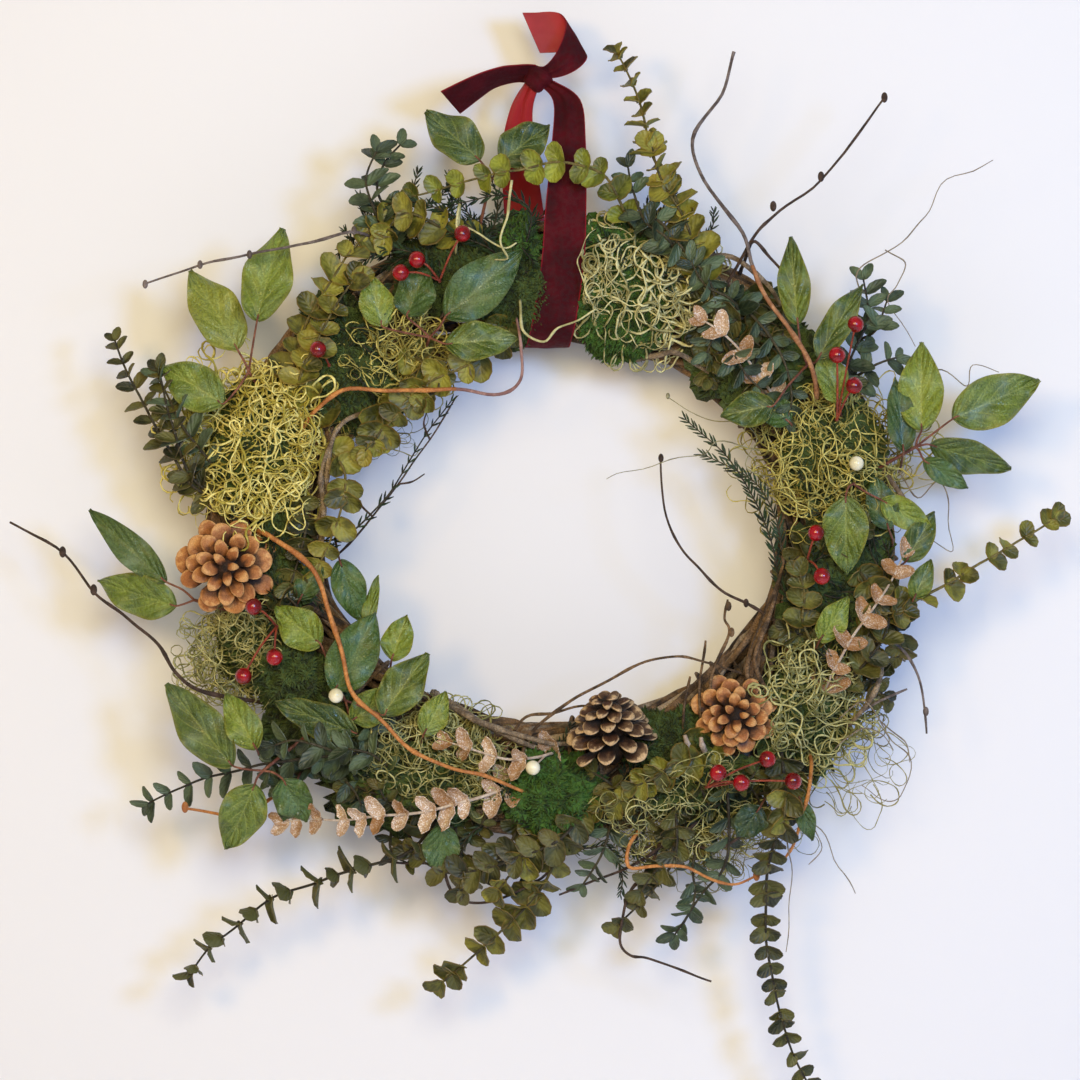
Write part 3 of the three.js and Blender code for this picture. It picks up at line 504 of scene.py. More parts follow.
@dataclass(frozen=True)
class BarkFinish(Finish):
    """Bark, stems, strands and wires: two tones that differ by strand and by patch."""

    dark: int
    light: int
    scale: float
    roughness: float = 0.85
    relief: float = 0.3
    mottling: float = 0.5
    specks: float = 0.3
    swing: float = 0.08

    def wire(self, board: Board, skin: bpy.types.Node) -> None:
        """Mixes the tones by strand and patch, and roughens the skin."""
        mottle = self.mottle(board, self.scale)
        share = board.fade(self.tinted(board, mottle, self.mottling), 0.0, 1.0)
        tone = board.mix(share, colour(self.dark), colour(self.light))
        board.feed(skin.inputs["Base Color"], self.speckled(board, mottle, self.specks, tone, self.dark))
        low, high = self.roughness - self.swing, self.roughness + self.swing
        self.dull(board, skin, mottle.outputs["Specks"], low, high)
        self.raise_up(board, skin, mottle.outputs["Specks"], self.relief * MM)


@dataclass(frozen=True)
class TuftFinish(Finish):
    """Sheet moss: dark between the tufts, where shade is painted, and fresh at their points."""

    dark: int
    light: int
    grain: float = 120.0
    mottling: float = 0.6
    roughness: Range = (0.8, 1.0)
    sheen: tuple[float, float, int] = (0.25, 0.5, 0xA8C070)
    relief: float = 0.5

    def wire(self, board: Board, skin: bpy.types.Node) -> None:
        """Lights the points, and shifts the green from place to place."""
        mottle = self.mottle(board, self.grain)
        share = board.fade(self.tinted(board, mottle, self.mottling), 0.0, 1.0)
        board.feed(skin.inputs["Base Color"], board.mix(share, colour(self.dark), colour(self.light)))
        self.dull(board, skin, mottle.outputs["Specks"], *self.roughness)
        self.brush(skin, *self.sheen)
        self.raise_up(board, skin, mottle.outputs["Specks"], self.relief * MM)


@dataclass(frozen=True)
class FrostFinish(Finish):
    """Glittered leaves: a tan leaf with bright grains on it."""

    leaf: int = 0x9C6E3C
    pale: int = 0xCCAC8C
    speck: int = 0x6B4428
    grain: int = 0xF2EAE2
    patches: float = 90.0
    grains: float = 2000.0
    mottling: float = 0.5
    specks: float = 0.25
    roughness: Range = (0.6, 0.25)
    relief: float = 0.25

    def wire(self, board: Board, skin: bpy.types.Node) -> None:
        """Strews the grains over the leaf, thicker in some patches."""
        here = self.here(board)
        mottle = board.group(mottle_group(), Vector=here, Scale=self.patches)
        frost = board.group(frost_group(), Vector=here, Scale=self.grains)
        tint = self.mark(board, "tint")
        share = board.maths("MULTIPLY_ADD", mottle.outputs["Patches"], self.mottling, tint)
        tone = board.mix(board.fade(share, 0.2, 1.2), colour(self.leaf), colour(self.pale))
        tone = self.speckled(board, mottle, self.specks, tone, self.speck)
        shine = board.times(frost.outputs["Sparkle"], board.fade(share, 0.1, 1.2, 0.2, 1.0))
        board.feed(skin.inputs["Base Color"], board.mix(shine, tone, colour(self.grain)))
        self.dull(board, skin, shine, *self.roughness)
        self.raise_up(board, skin, frost.outputs["Grain"], self.relief * MM)


@dataclass(frozen=True)
class ConeFinish(Finish):
    """A cone's scale: dark at its root, part own colour and part painted shade, rust on its blade and tan at
    its thick tip.
    """

    root: int = 0x2C170C
    blade: int = 0xA4622E
    tip: int = 0xE0AA6C
    lit: float = 0.4
    grain: float = 220.0
    rim: float = 0.8
    specks: float = 0.25
    roughness: Range = (0.5, 0.75)
    relief: float = 0.5

    def wire(self, board: Board, skin: bpy.types.Node) -> None:
        """Runs the colours along the scale, with a pale rim, a dark root and a back darkened as painted
        shade.
        """
        mottle = self.mottle(board, self.grain)
        uv = self.leaf_map(board)
        parts = board.add("ShaderNodeSeparateXYZ", {0: uv}).outputs
        side = board.times(board.off_middle(parts[1]), 2.0)
        shift = board.maths("MULTIPLY_ADD", mottle.outputs["Patches"], 0.2, -0.1)
        run = board.maths("ADD", parts[0], shift)
        # The dark root is partly the scale's own colour and partly painted shade in the gaps between the
        # scales.
        tone = board.mix(board.fade(run, 0.42, 0.82), colour(self.root), colour(self.blade))
        rim = board.maths("MAXIMUM", board.fade(run, 0.84, 0.98), board.fade(side, 0.75, 0.98))
        rim = board.times(rim, board.fade(run, 0.55, 0.85))
        tone = board.mix(board.times(rim, self.rim), tone, colour(self.tip))
        pale = board.times(self.mark(board, "tint"), self.lit)
        tone = board.mix(board.times(pale, board.fade(run, 0.6, 0.9)), tone, colour(self.tip))
        # The scale's back takes the root colour as painted shade, less so towards the tip.
        shaded = board.times(self.mark(board, "under"), board.fade(run, 0.7, 0.92, 0.8, 0.15))
        tone = board.mix(shaded, tone, colour(self.root))
        board.feed(skin.inputs["Base Color"], self.speckled(board, mottle, self.specks, tone, self.root))
        self.dull(board, skin, mottle.outputs["Specks"], *self.roughness)
        streaks = board.add("ShaderNodeMapping", {"Vector": uv, "Scale": (2.0, 14.0, 1.0)})
        grain = board.add("ShaderNodeTexNoise", {"Vector": streaks.outputs[0], "Scale": 1.0, "Detail": 3.0})
        self.raise_up(board, skin, grain.outputs[0], self.relief * MM)


@dataclass(frozen=True)
class VelvetFinish(Finish):
    """Dark red velvet with painted sheen on its pile and a brighter woven edge that also carries painted
    sheen.
    """

    pile: int = 0x34040D
    lit: int = 0x660E1C
    edge: int = 0x7C1420
    patches: float = 55.0
    sheen_patching: float = 0.4
    specks: float = 0.12
    roughness: Range = (0.75, 0.95)
    specular: float = 0.2
    sheen: tuple[float, float, int] = (0.3, 0.38, 0xA01C30)
    pile_grain: float = 2600.0
    relief: float = 0.25

    def wire(self, board: Board, skin: bpy.types.Node) -> None:
        """Paints sheen on the pile in soft patches and lays the woven edge with its painted rim sheen."""
        mottle = self.mottle(board, self.patches)
        parts = board.add("ShaderNodeSeparateXYZ", {0: self.leaf_map(board)}).outputs
        side = board.off_middle(parts[1])
        # The lit colour, laid in soft patches and fine specks, is painted sheen on the pile.
        sheen_patches = board.times(mottle.outputs["Patches"], self.sheen_patching)
        tone = board.mix(sheen_patches, colour(self.pile), colour(self.lit))
        tone = self.speckled(board, mottle, self.specks, tone, self.lit)
        # The woven edge is brighter in its own colour and also carries painted sheen along the rims.
        tone = board.mix(board.fade(side, 0.46, 0.49), tone, colour(self.edge))
        board.feed(skin.inputs["Base Color"], tone)
        self.dull(board, skin, mottle.outputs["Specks"], *self.roughness)
        skin.inputs["Specular IOR Level"].default_value = self.specular
        self.brush(skin, *self.sheen)
        inputs = {"Vector": self.here(board), "Scale": self.pile_grain, "Detail": 1.0}
        pile = board.add("ShaderNodeTexNoise", inputs)
        self.raise_up(board, skin, pile.outputs[0], self.relief * MM)


@dataclass(frozen=True)
class SatinFinish(Finish):
    """The ribbon's smooth back, with fine ribs along it."""

    deep: int = 0x921017
    bright: int = 0xAC202A
    patches: float = 60.0
    ribs: float = 45.0
    roughness: Range = (0.38, 0.5)
    sheen: tuple[float, float, int] = (0.1, 0.5, 0xFF9090)
    relief: float = 0.15

    def wire(self, board: Board, skin: bpy.types.Node) -> None:
        """Draws the fine ribs and softens them with patches."""
        mottle = self.mottle(board, self.patches)
        parts = board.add("ShaderNodeSeparateXYZ", {0: self.leaf_map(board)}).outputs
        rib = board.maths("PINGPONG", board.times(parts[1], self.ribs), 0.5)
        share = board.maths("MULTIPLY_ADD", rib, 0.3, board.times(mottle.outputs["Patches"], 0.6))
        board.feed(skin.inputs["Base Color"], board.mix(share, colour(self.deep), colour(self.bright)))
        self.dull(board, skin, mottle.outputs["Patches"], *self.roughness)
        self.brush(skin, *self.sheen)
        self.raise_up(board, skin, rib, self.relief * MM)


@dataclass(frozen=True)
class GlossFinish(Finish):
    """Berries and pearls: a lacquered ball with faint clouds in its colour."""

    deep: int = 0x5E020A
    bright: int = 0xA00618
    roughness: float = 0.2
    duller: float = 0.1
    clouds: float = 150.0
    specular: float = 0.35
    coat: float = 0.5
    coat_roughness: float = 0.08

    def wire(self, board: Board, skin: bpy.types.Node) -> None:
        """Clouds the colour and lays the lacquer."""
        mottle = self.mottle(board, self.clouds)
        cloud = board.mix(mottle.outputs["Patches"], colour(self.deep), colour(self.bright))
        board.feed(skin.inputs["Base Color"], cloud)
        self.dull(board, skin, mottle.outputs["Specks"], self.roughness, self.roughness + self.duller)
        skin.inputs["Specular IOR Level"].default_value = self.specular
        skin.inputs["Coat Weight"].default_value = self.coat
        skin.inputs["Coat Roughness"].default_value = self.coat_roughness


@dataclass(frozen=True)
class StudioFinish(Finish):
    """The pale sweep of the studio, seen from its front side only."""

    tone: int = 0xEDEDF2
    patch: int = 0xE4E0DC
    patches: float = 1.2
    mottling: float = 0.05

    def wire(self, board: Board, skin: bpy.types.Node) -> None:
        """Dulls the sweep, and lets the view pass through from behind."""
        mottle = self.mottle(board, self.patches)
        shade = board.times(mottle.outputs["Patches"], self.mottling)
        board.feed(skin.inputs["Base Color"], board.mix(shade, colour(self.tone), colour(self.patch)))
        skin.inputs["Roughness"].default_value = 1.0
        skin.inputs["Specular IOR Level"].default_value = 0.0
        behind = board.add("ShaderNodeNewGeometry").outputs["Backfacing"]
        clear = board.add("ShaderNodeBsdfTransparent").outputs[0]
        both = board.add("ShaderNodeMixShader", {0: behind, 1: skin.outputs[0], 2: clear})
        output = board.tree.nodes["Material Output"]
        board.feed(output.inputs[0], both.outputs[0])


BARK = BarkFinish("vine bark", 0x2C2016, 0x92714E, 140.0, relief=0.6)
PALE_BARK = BarkFinish("weathered vine", 0x5A4A3C, 0xB09A7E, 150.0, relief=0.6)
ORANGE_VINE = BarkFinish("orange vine", 0x9A5A2C, 0xD9944E, 120.0, roughness=0.6)
MAUVE_VINE = BarkFinish("mauve vine", 0x7A5350, 0xB08A80, 120.0, roughness=0.7)
TAN_TWIG = BarkFinish("tan twig", 0x8A5836, 0xC48E62, 160.0, roughness=0.7)
GREY_TWIG = BarkFinish("grey twig", 0x4A3E3A, 0x8C7E78, 200.0)
DARK_TWIG = BarkFinish("dark twig", 0x2A1E18, 0x5C463A, 200.0)
HAIR = BarkFinish("moss hair", 0x6E6A50, 0xB4AE88, 200.0)
WISP = BarkFinish("moss wisp", 0x6C6638, 0xA89E5C, 200.0)
TENDRIL = BarkFinish("tendril", 0x6A5A48, 0xA89A84, 200.0)
STEM = BarkFinish("leaf stem", 0x3A3418, 0x7A6C34, 200.0, roughness=0.6)
RED_STALK = BarkFinish("salal stalk", 0x5A2C22, 0x9A6248, 200.0, roughness=0.55)
DARK_STEM = BarkFinish("dark stem", 0x221C12, 0x4A4228, 200.0, roughness=0.6)
FROST_STEM = BarkFinish("frosted stem", 0xB89E88, 0xE6D6C4, 300.0, roughness=0.5)
RED_WIRE = BarkFinish("berry wire", 0x6A2418, 0xA8482C, 200.0, roughness=0.5)
YELLOW_CURL = BarkFinish("yellow curly moss", 0xA69838, 0xF6EA94, 120.0, relief=0.15)
DULL_CURL = BarkFinish("dull curly moss", 0x7C722E, 0xD6CA74, 120.0, relief=0.15)
PALE_CURL = BarkFinish("pale curly moss", 0x8A8452, 0xDCD6A0, 120.0, relief=0.15)
GREEN_CURL = BarkFinish("green curly moss", 0x6E6C34, 0xCCC688, 120.0, relief=0.15)
BRIGHT_TUFT = TuftFinish("bright sheet moss", 0x10240A, 0x466E26)
# Duller, browner sheet moss laid where the moss lies deep under other pieces; its darker tones are painted
# shade.
SHADED_TUFT = TuftFinish("shaded sheet moss", 0x14160A, 0x485A26)
OLIVE_LEAF = LeafFinish(
    "olive leaf", 0x38380E, 0x949032, 0xA49E48, 0x805E1E, 0x7C7838, veining=0.12,
    painted_sheen=0x949C60,
)
FRESH_LEAF = LeafFinish(
    "fresh olive leaf", 0x3C4410, 0x949C2E, 0xA4A846, 0x82662A, 0x7C8036,
    veining=0.12, painted_sheen=0x98A460,
)
DARK_LEAF = LeafFinish(
    "dark leaf", 0x20240E, 0x605E26, 0x70703E, 0x5C4620, 0x56562E, veining=0.12,
    painted_sheen=0x848C58,
)
BLUISH_LEAF = LeafFinish(
    "bluish leaf", 0x1E2A1A, 0x586A4A, 0x78886A, 0x40442A, 0x64745C, veining=0.15,
    painted_sheen=0x8A9C84,
)
CEDAR_LEAF = LeafFinish(
    "cedar leaf", 0x101E12, 0x365230, 0x466038, 0x34381C, 0x3A5030, veining=0.1
)
SALAL_LEAF = LeafFinish(
    "salal leaf", 0x2C4410, 0x80922C, 0xA8B058, 0x90892C, 0x728444, pairs=7.0,
    slant=0.3, veining=0.3, relief=0.8, roughness=0.36, coat=0.35, painted_sheen=0x8CA47C, painted_sheen_share=0.22,
    mottling=0.25, crinkle=0.6,
)
DEEP_SALAL_LEAF = LeafFinish(
    "deep salal leaf", 0x1A3210, 0x4A6826, 0x6E8648, 0x4E5820, 0x56703C, pairs=7.0,
    slant=0.3, veining=0.22, relief=0.7, roughness=0.36, coat=0.35, painted_sheen=0x789674, painted_sheen_share=0.22,
    mottling=0.25, crinkle=0.6,
)
FROST_LEAF = FrostFinish("glittered leaf")
CONE = ConeFinish("cone scale")
SHADED_CONE = ConeFinish("shaded cone scale", root=0x140A05, blade=0x4A2A16, tip=0xE4C090, lit=0.15)
# Near-black core of the cone: painted shade for the depth seen between the scales.
SHADED_CONE_HEART = BarkFinish("shaded cone heart", 0x1C0F08, 0x4A2C18, 200.0)
VELVET = VelvetFinish("velvet pile")
SATIN = SatinFinish("satin back")
BERRY = GlossFinish("berry lacquer")
PEARL = GlossFinish("pearl lacquer", deep=0xD8CFA8, bright=0xF2EBD0, roughness=0.25)
STUDIO = StudioFinish("studio sweep")


@dataclass(frozen=True)
class LeafForm:
    """The shape of a blade, in shares of its length and half width where nothing else is said.

    The outline swells from the heel and narrows to the tip by two exponents: low ones are blunt. notch
    draws the heel's corners back, cup dishes the blade, fold lifts its sides from the midrib, curl bends
    the tip back, wave ripples the rim, out of step by lag from side to side, and quilt raises the blade
    between its pairs of slanting veins. The blade is nowhere narrower than stub.
    """

    rows: int
    columns: int
    heel: float
    tip: float
    notch: float = 0.0
    cup: float = 0.2
    fold: float = 0.1
    curl: float = 0.1
    wave: float = 0.05
    waves: float = 2.0
    quilt: float = 0.0
    pairs: float = 7.0
    slant: float = 0.3
    thickness: float = 0.5 * MM
    stub: float = 0.07
    lag: float = 1.9

    def half(self, run: float) -> float:
        """Gives the outline's half width at a share of the length."""
        widest = self.heel / (self.heel + self.tip)
        peak = widest**self.heel * (1 - widest) ** self.tip
        return max(self.stub, run**self.heel * (1 - run) ** self.tip / peak)


ROUND = LeafForm(5, 4, heel=0.4, tip=0.45, notch=0.16, cup=0.3, fold=0.12, curl=0.12, wave=0.05)
LENS = LeafForm(5, 4, heel=0.52, tip=0.6, cup=0.15, fold=0.25, curl=0.1, wave=0.03)
NEEDLE = LeafForm(2, 2, heel=0.4, tip=0.8, cup=0.1, fold=0.3, curl=-0.12, wave=0.0, thickness=0.45 * MM)
KITE = LeafForm(6, 4, heel=0.4, tip=0.56, notch=0.12, cup=0.35, fold=0.2, curl=-0.14, wave=0.1)
OVATE = LeafForm(
    28, 8, heel=0.66, tip=0.95, cup=-0.1, fold=0.24, curl=0.16, wave=0.12, quilt=0.02,
    thickness=0.45 * MM,
)


@dataclass(frozen=True)
class ScaleForm:
    """The shape of a cone's scale, in shares of its own length, width and thickness.

    It opens over root_over, widens from slim until wide_at, thickens from thin, and rounds off from
    blunt_from over blunt_over, flatter there by taper. cup lifts its sides and curl bends its tip back.
    """

    root_over: float = 0.03
    slim: float = 0.3
    widens: float = 0.7
    wide_at: float = 0.7
    thin: float = 0.35
    thickens: float = 0.65
    blunt_from: float = 0.66
    blunt_over: float = 0.34
    taper: float = 0.7
    cup: float = 0.22
    curl: float = 0.16

    def closing(self, run: float) -> float:
        """Gives how full the outline is at a share of the length: 1 but for the root and the tip."""
        tip = max(0.0, run - self.blunt_from) / self.blunt_over
        return math.sqrt(max(0.0, 1 - tip**2)) * min(1.0, run / self.root_over)


SCALE = ScaleForm()


class Kind(Enum):
    """The kinds of leafy stem, each with its form, finishes, leaf size and spacing in steps, and slot."""

    OLIVE = (ROUND, OLIVE_LEAF, STEM, 26, 25, 21, "olive_eucalyptus")
    FRESH = (ROUND, FRESH_LEAF, STEM, 25, 24, 21, "olive_eucalyptus")
    DUSK = (ROUND, DARK_LEAF, DARK_STEM, 26, 22, 21, "dark_eucalyptus")
    SLIM = (LENS, DARK_LEAF, DARK_STEM, 24, 14, 18, "dark_eucalyptus")
    BLUISH = (LENS, BLUISH_LEAF, DARK_STEM, 27, 14, 21, "narrow_leaf")
    CEDAR = (NEEDLE, CEDAR_LEAF, DARK_STEM, 14, 2.3, 6.5, "cedar")
    FROST = (KITE, FROST_LEAF, FROST_STEM, 26, 17, 30, "glitter_leaf")

    def __init__(
        self, form: LeafForm, finish: Finish, stem: Finish, long: float, wide: float, gap: float, slot: str
    ) -> None:
        """Names the parts of the kind's value."""
        self.form = form
        self.finish = finish
        self.stem = stem
        self.long = long * STEP
        self.wide = wide * STEP
        self.gap = gap * STEP
        self.slot = slot


class Growth:
    """A piece in the making: strands, leaves and balls in one mesh, each with its own tint."""

    def __init__(self, name: str) -> None:
        """Starts an empty mesh with the marks that the finishes read."""
        self.name = name
        self.bm = bmesh.new()
        self.bm.loops.layers.uv.new(UV_NAME)
        self.tint = self.bm.faces.layers.float.new("tint")
        self.under = self.bm.faces.layers.float.new("under")
        self.materials: list[bpy.types.Material] = []
        self.runs: dict[tuple[int, float, int], bpy.types.Curve] = {}
        self.sheets: dict[tuple[float, int], list[bmesh.types.BMFace]] = {}

    def paint(self, finish: Finish) -> int:
        """Gives the number of a finish's material on this piece."""
        material = finish.material()
        if material not in self.materials:
            self.materials.append(material)
        return self.materials.index(material)

    @staticmethod
    def around(corners: Iterable[bmesh.types.BMVert]) -> list[bmesh.types.BMFace]:
        """Gives the faces that meet some corners, each one once and in a steady order."""
        return list(dict.fromkeys(face for corner in corners for face in corner.link_faces))

    def mark(self, faces: Iterable[bmesh.types.BMFace], paint: int, tint: float) -> None:
        """Marks faces with a material and a tint.

        Args:
            faces: The faces.
            paint: The material's number on this piece.
            tint: Their place between the finish's two tones.
        """
        for face in faces:
            face.material_index = paint
            face.smooth = True
            face[self.tint] = tint

    def sheet(
        self, corners: Iterable[bmesh.types.BMVert], thickness: float, finish: Finish, tint: float,
        back: Finish | None = None,
    ) -> None:
        """Takes in a sheet, which gets its thickness when the piece is finished.

        Args:
            corners: The sheet's corners.
            thickness: How thick it becomes, away from its face.
            finish: What covers it.
            tint: Its place between the finish's two tones.
            back: What covers its back, if that is something else.
        """
        faces = self.around(corners)
        self.mark(faces, self.paint(finish), tint)
        self.sheets.setdefault((thickness, self.paint(back or finish)), []).extend(faces)

    def thicken(self) -> None:
        """Gives all sheets their thickness and a crisp rim."""
        for (thickness, back), sheet in self.sheets.items():
            for face in sheet:
                face.normal_update()
            count = len(self.bm.faces)
            bmesh.ops.solidify(self.bm, geom=sheet, thickness=thickness)
            self.bm.faces.ensure_lookup_table()
            made = self.bm.faces[count:]
            for face in made[: len(sheet)]:
                face[self.under] = 1.0
                face.material_index = back
            for edge in {edge for rim in made[len(sheet) :] for edge in rim.edges}:
                edge.smooth = False

    def strand(
        self, points: Sequence[Vector], radii: float | Sequence[float], finish: Finish,
        tint: float = 0.5, rounds: int = 1,
    ) -> None:
        """Adds a round strand.

        Args:
            points: Its line.
            radii: One radius for all of it, or one at each point.
            finish: What covers it.
            tint: Its place between the finish's two tones.
            rounds: How round its section is.
        """
        key = (self.paint(finish), round(tint, 1), rounds)
        curve = self.runs.get(key)
        if curve is None:
            curve = bpy.data.curves.new("strands", "CURVE")
            curve.dimensions = "3D"
            curve.bevel_depth = 1.0
            curve.bevel_resolution = rounds
            curve.use_fill_caps = True
            self.runs[key] = curve
        spline = curve.splines.new("POLY")
        spline.points.add(len(points) - 1)
        sizes = [radii] * len(points) if isinstance(radii, float) else radii
        for spot, point, radius in zip(spline.points, points, sizes):
            spot.co = (*point, 1)
            spot.radius = radius

    def stem(
        self, points: Sequence[Vector], root: float, tip: float, finish: Finish, tint: float = 0.5
    ) -> None:
        """Adds a strand that thins evenly from its root to its tip.

        Args:
            points: Its line.
            root: Its radius at the root.
            tip: Its radius at the tip.
            finish: What covers it.
            tint: Its place between the finish's two tones.
        """
        last = len(points) - 1
        radii = [root + (tip - root) * i / last for i in range(last + 1)]
        self.strand(points, radii, finish, tint)

    def leaf(
        self, foot: Vector, tip: Vector, width: float, normal: Vector, form: LeafForm, finish: Finish,
        tint: float, dice: Dice,
    ) -> None:
        """Adds one blade.

        Args:
            foot: Where it starts.
            tip: Where it would end if it were flat.
            width: Its full width.
            normal: Which way its face looks.
            form: Its shape.
            finish: What covers it.
            tint: Its place between the finish's two tones.
            dice: Where its ripples come from.
        """
        along = tip - foot
        length = along.length
        along.normalize()
        across = normal.cross(along).normalized()
        face = along.cross(across)
        phase = dice.draw(0, FULL_TURN)
        made = bmesh.ops.create_grid(
            self.bm, x_segments=form.rows, y_segments=form.columns, size=1, calc_uvs=True
        )
        for corner in made["verts"]:
            run = (1 - math.cos(math.pi * (corner.co.x + 1) / 2)) / 2
            side = corner.co.y
            half = form.half(run) * width / 2
            ahead = run * length - form.notch * length * side * side * (1 - run) ** 2
            ripple = math.sin(FULL_TURN * form.waves * run + phase + (form.lag if side > 0 else 0))
            rise = (form.cup * side * side + form.fold * abs(side)) * half
            rise += form.wave * width * ripple * side * side - form.curl * length * run * run
            if form.quilt:
                lane = (corner.co.x + 1) / 2 - form.slant * abs(side)
                between = math.sin(math.pi * form.pairs * lane) ** 2
                rise += form.quilt * width * between * (1 - side * side) * min(1, 4 * abs(side))
            corner.co = foot + along * ahead + across * side * half + face * rise
        self.sheet(made["verts"], form.thickness, finish, tint)

    def scale(
        self, foot: Vector, way: Vector, face: Vector, size: tuple[float, float, float], finish: Finish,
        tint: float, form: ScaleForm = SCALE,
    ) -> None:
        """Adds one woody scale, slim at its root and thick and blunt at its tip.

        Args:
            foot: Where it starts.
            way: The unit vector that it runs along.
            face: Which way its broad side looks.
            size: Its length, its width and its thickness.
            finish: What covers it.
            tint: Its place between the finish's two tones.
            form: Its shape.
        """
        across = face.cross(way).normalized()
        up = way.cross(across)
        long, wide, thick = size
        runs = {}
        made = bmesh.ops.create_uvsphere(self.bm, u_segments=12, v_segments=10, radius=1)
        for corner in made["verts"]:
            x, y, z = corner.co
            run = (1 + z) / 2
            girth = math.sqrt(max(1e-9, 1 - z * z))
            side, depth = x / girth, y / girth
            closing = form.closing(run)
            half = wide / 2 * (form.slim + form.widens * min(1.0, run / form.wide_at)) * closing
            rise = depth * thick / 2 * (form.thin + form.thickens * run) * closing**form.taper
            rise += form.cup * half * side * side - form.curl * long * run * run
            corner.co = foot + way * run * long + across * side * half + up * rise
            runs[corner] = (run, 0.5 + side / 2, depth)
        uv = self.bm.loops.layers.uv[UV_NAME]
        faces = self.around(made["verts"])
        self.mark(faces, self.paint(finish), tint)
        for skin in faces:
            skin[self.under] = float(sum(runs[corner][2] for corner in skin.verts) < 0)
            for loop in skin.loops:
                loop[uv].uv = runs[loop.vert][:2]

    def ball(self, centre: Vector, radius: float, finish: Finish, shape: Callable | None = None) -> None:
        """Adds a ball.

        Args:
            centre: Its middle.
            radius: Its radius.
            finish: What covers it.
            shape: What moves each corner, seen from the middle, if the ball isn't round.
        """
        made = bmesh.ops.create_uvsphere(self.bm, u_segments=20, v_segments=12, radius=radius)
        for corner in made["verts"]:
            corner.co = centre + (shape(corner.co) if shape else corner.co)
        self.mark(self.around(made["verts"]), self.paint(finish), 0.5)

    def pearl(self, root: Vector, centre: Vector) -> None:
        """Adds a pearl and the wire that it sits on.

        Args:
            root: Where the wire starts.
            centre: The pearl's middle.
        """
        self.stem([root, centre], 0.6 * MM, 0.5 * MM, FROST_STEM)
        self.ball(centre, PEARL_RADIUS, PEARL)

    def weld_strands(self) -> None:
        """Turns the strands into mesh and closes their ends."""
        for (paint, tint, _), curve in self.runs.items():
            holder = bpy.data.objects.new("strands", curve)
            mesh = bpy.data.meshes.new_from_object(holder)
            mesh.uv_layers[0].name = UV_NAME
            faces, corners = len(self.bm.faces), len(self.bm.verts)
            self.bm.from_mesh(mesh)
            self.bm.faces.ensure_lookup_table()
            self.mark(self.bm.faces[faces:], paint, tint)
            self.bm.verts.ensure_lookup_table()
            bmesh.ops.remove_doubles(self.bm, verts=self.bm.verts[corners:], dist=WELD)
            bpy.data.objects.remove(holder)
            bpy.data.curves.remove(curve)
            bpy.data.meshes.remove(mesh)

    def grown(self, slot: str, *nodes: str) -> bpy.types.Object:
        """Finishes the piece and sets it on the wreath.

        Args:
            slot: A material slot's name; not used.
            *nodes: The nodes that it stands for.

        Returns:
            The finished object.
        """
        self.thicken()
        self.weld_strands()
        mesh = bpy.data.meshes.new(self.name)
        self.bm.to_mesh(mesh)
        self.bm.free()
        for material in self.materials:
            mesh.materials.append(material)
        piece = bpy.data.objects.new(self.name, mesh)
        bpy.context.scene.collection.objects.link(piece)
        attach(piece, "root")
        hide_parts(*nodes)
        triangles = sum(len(face.vertices) - 2 for face in mesh.polygons)
        log.info("%s: %d triangles", self.name, triangles)
        return piece


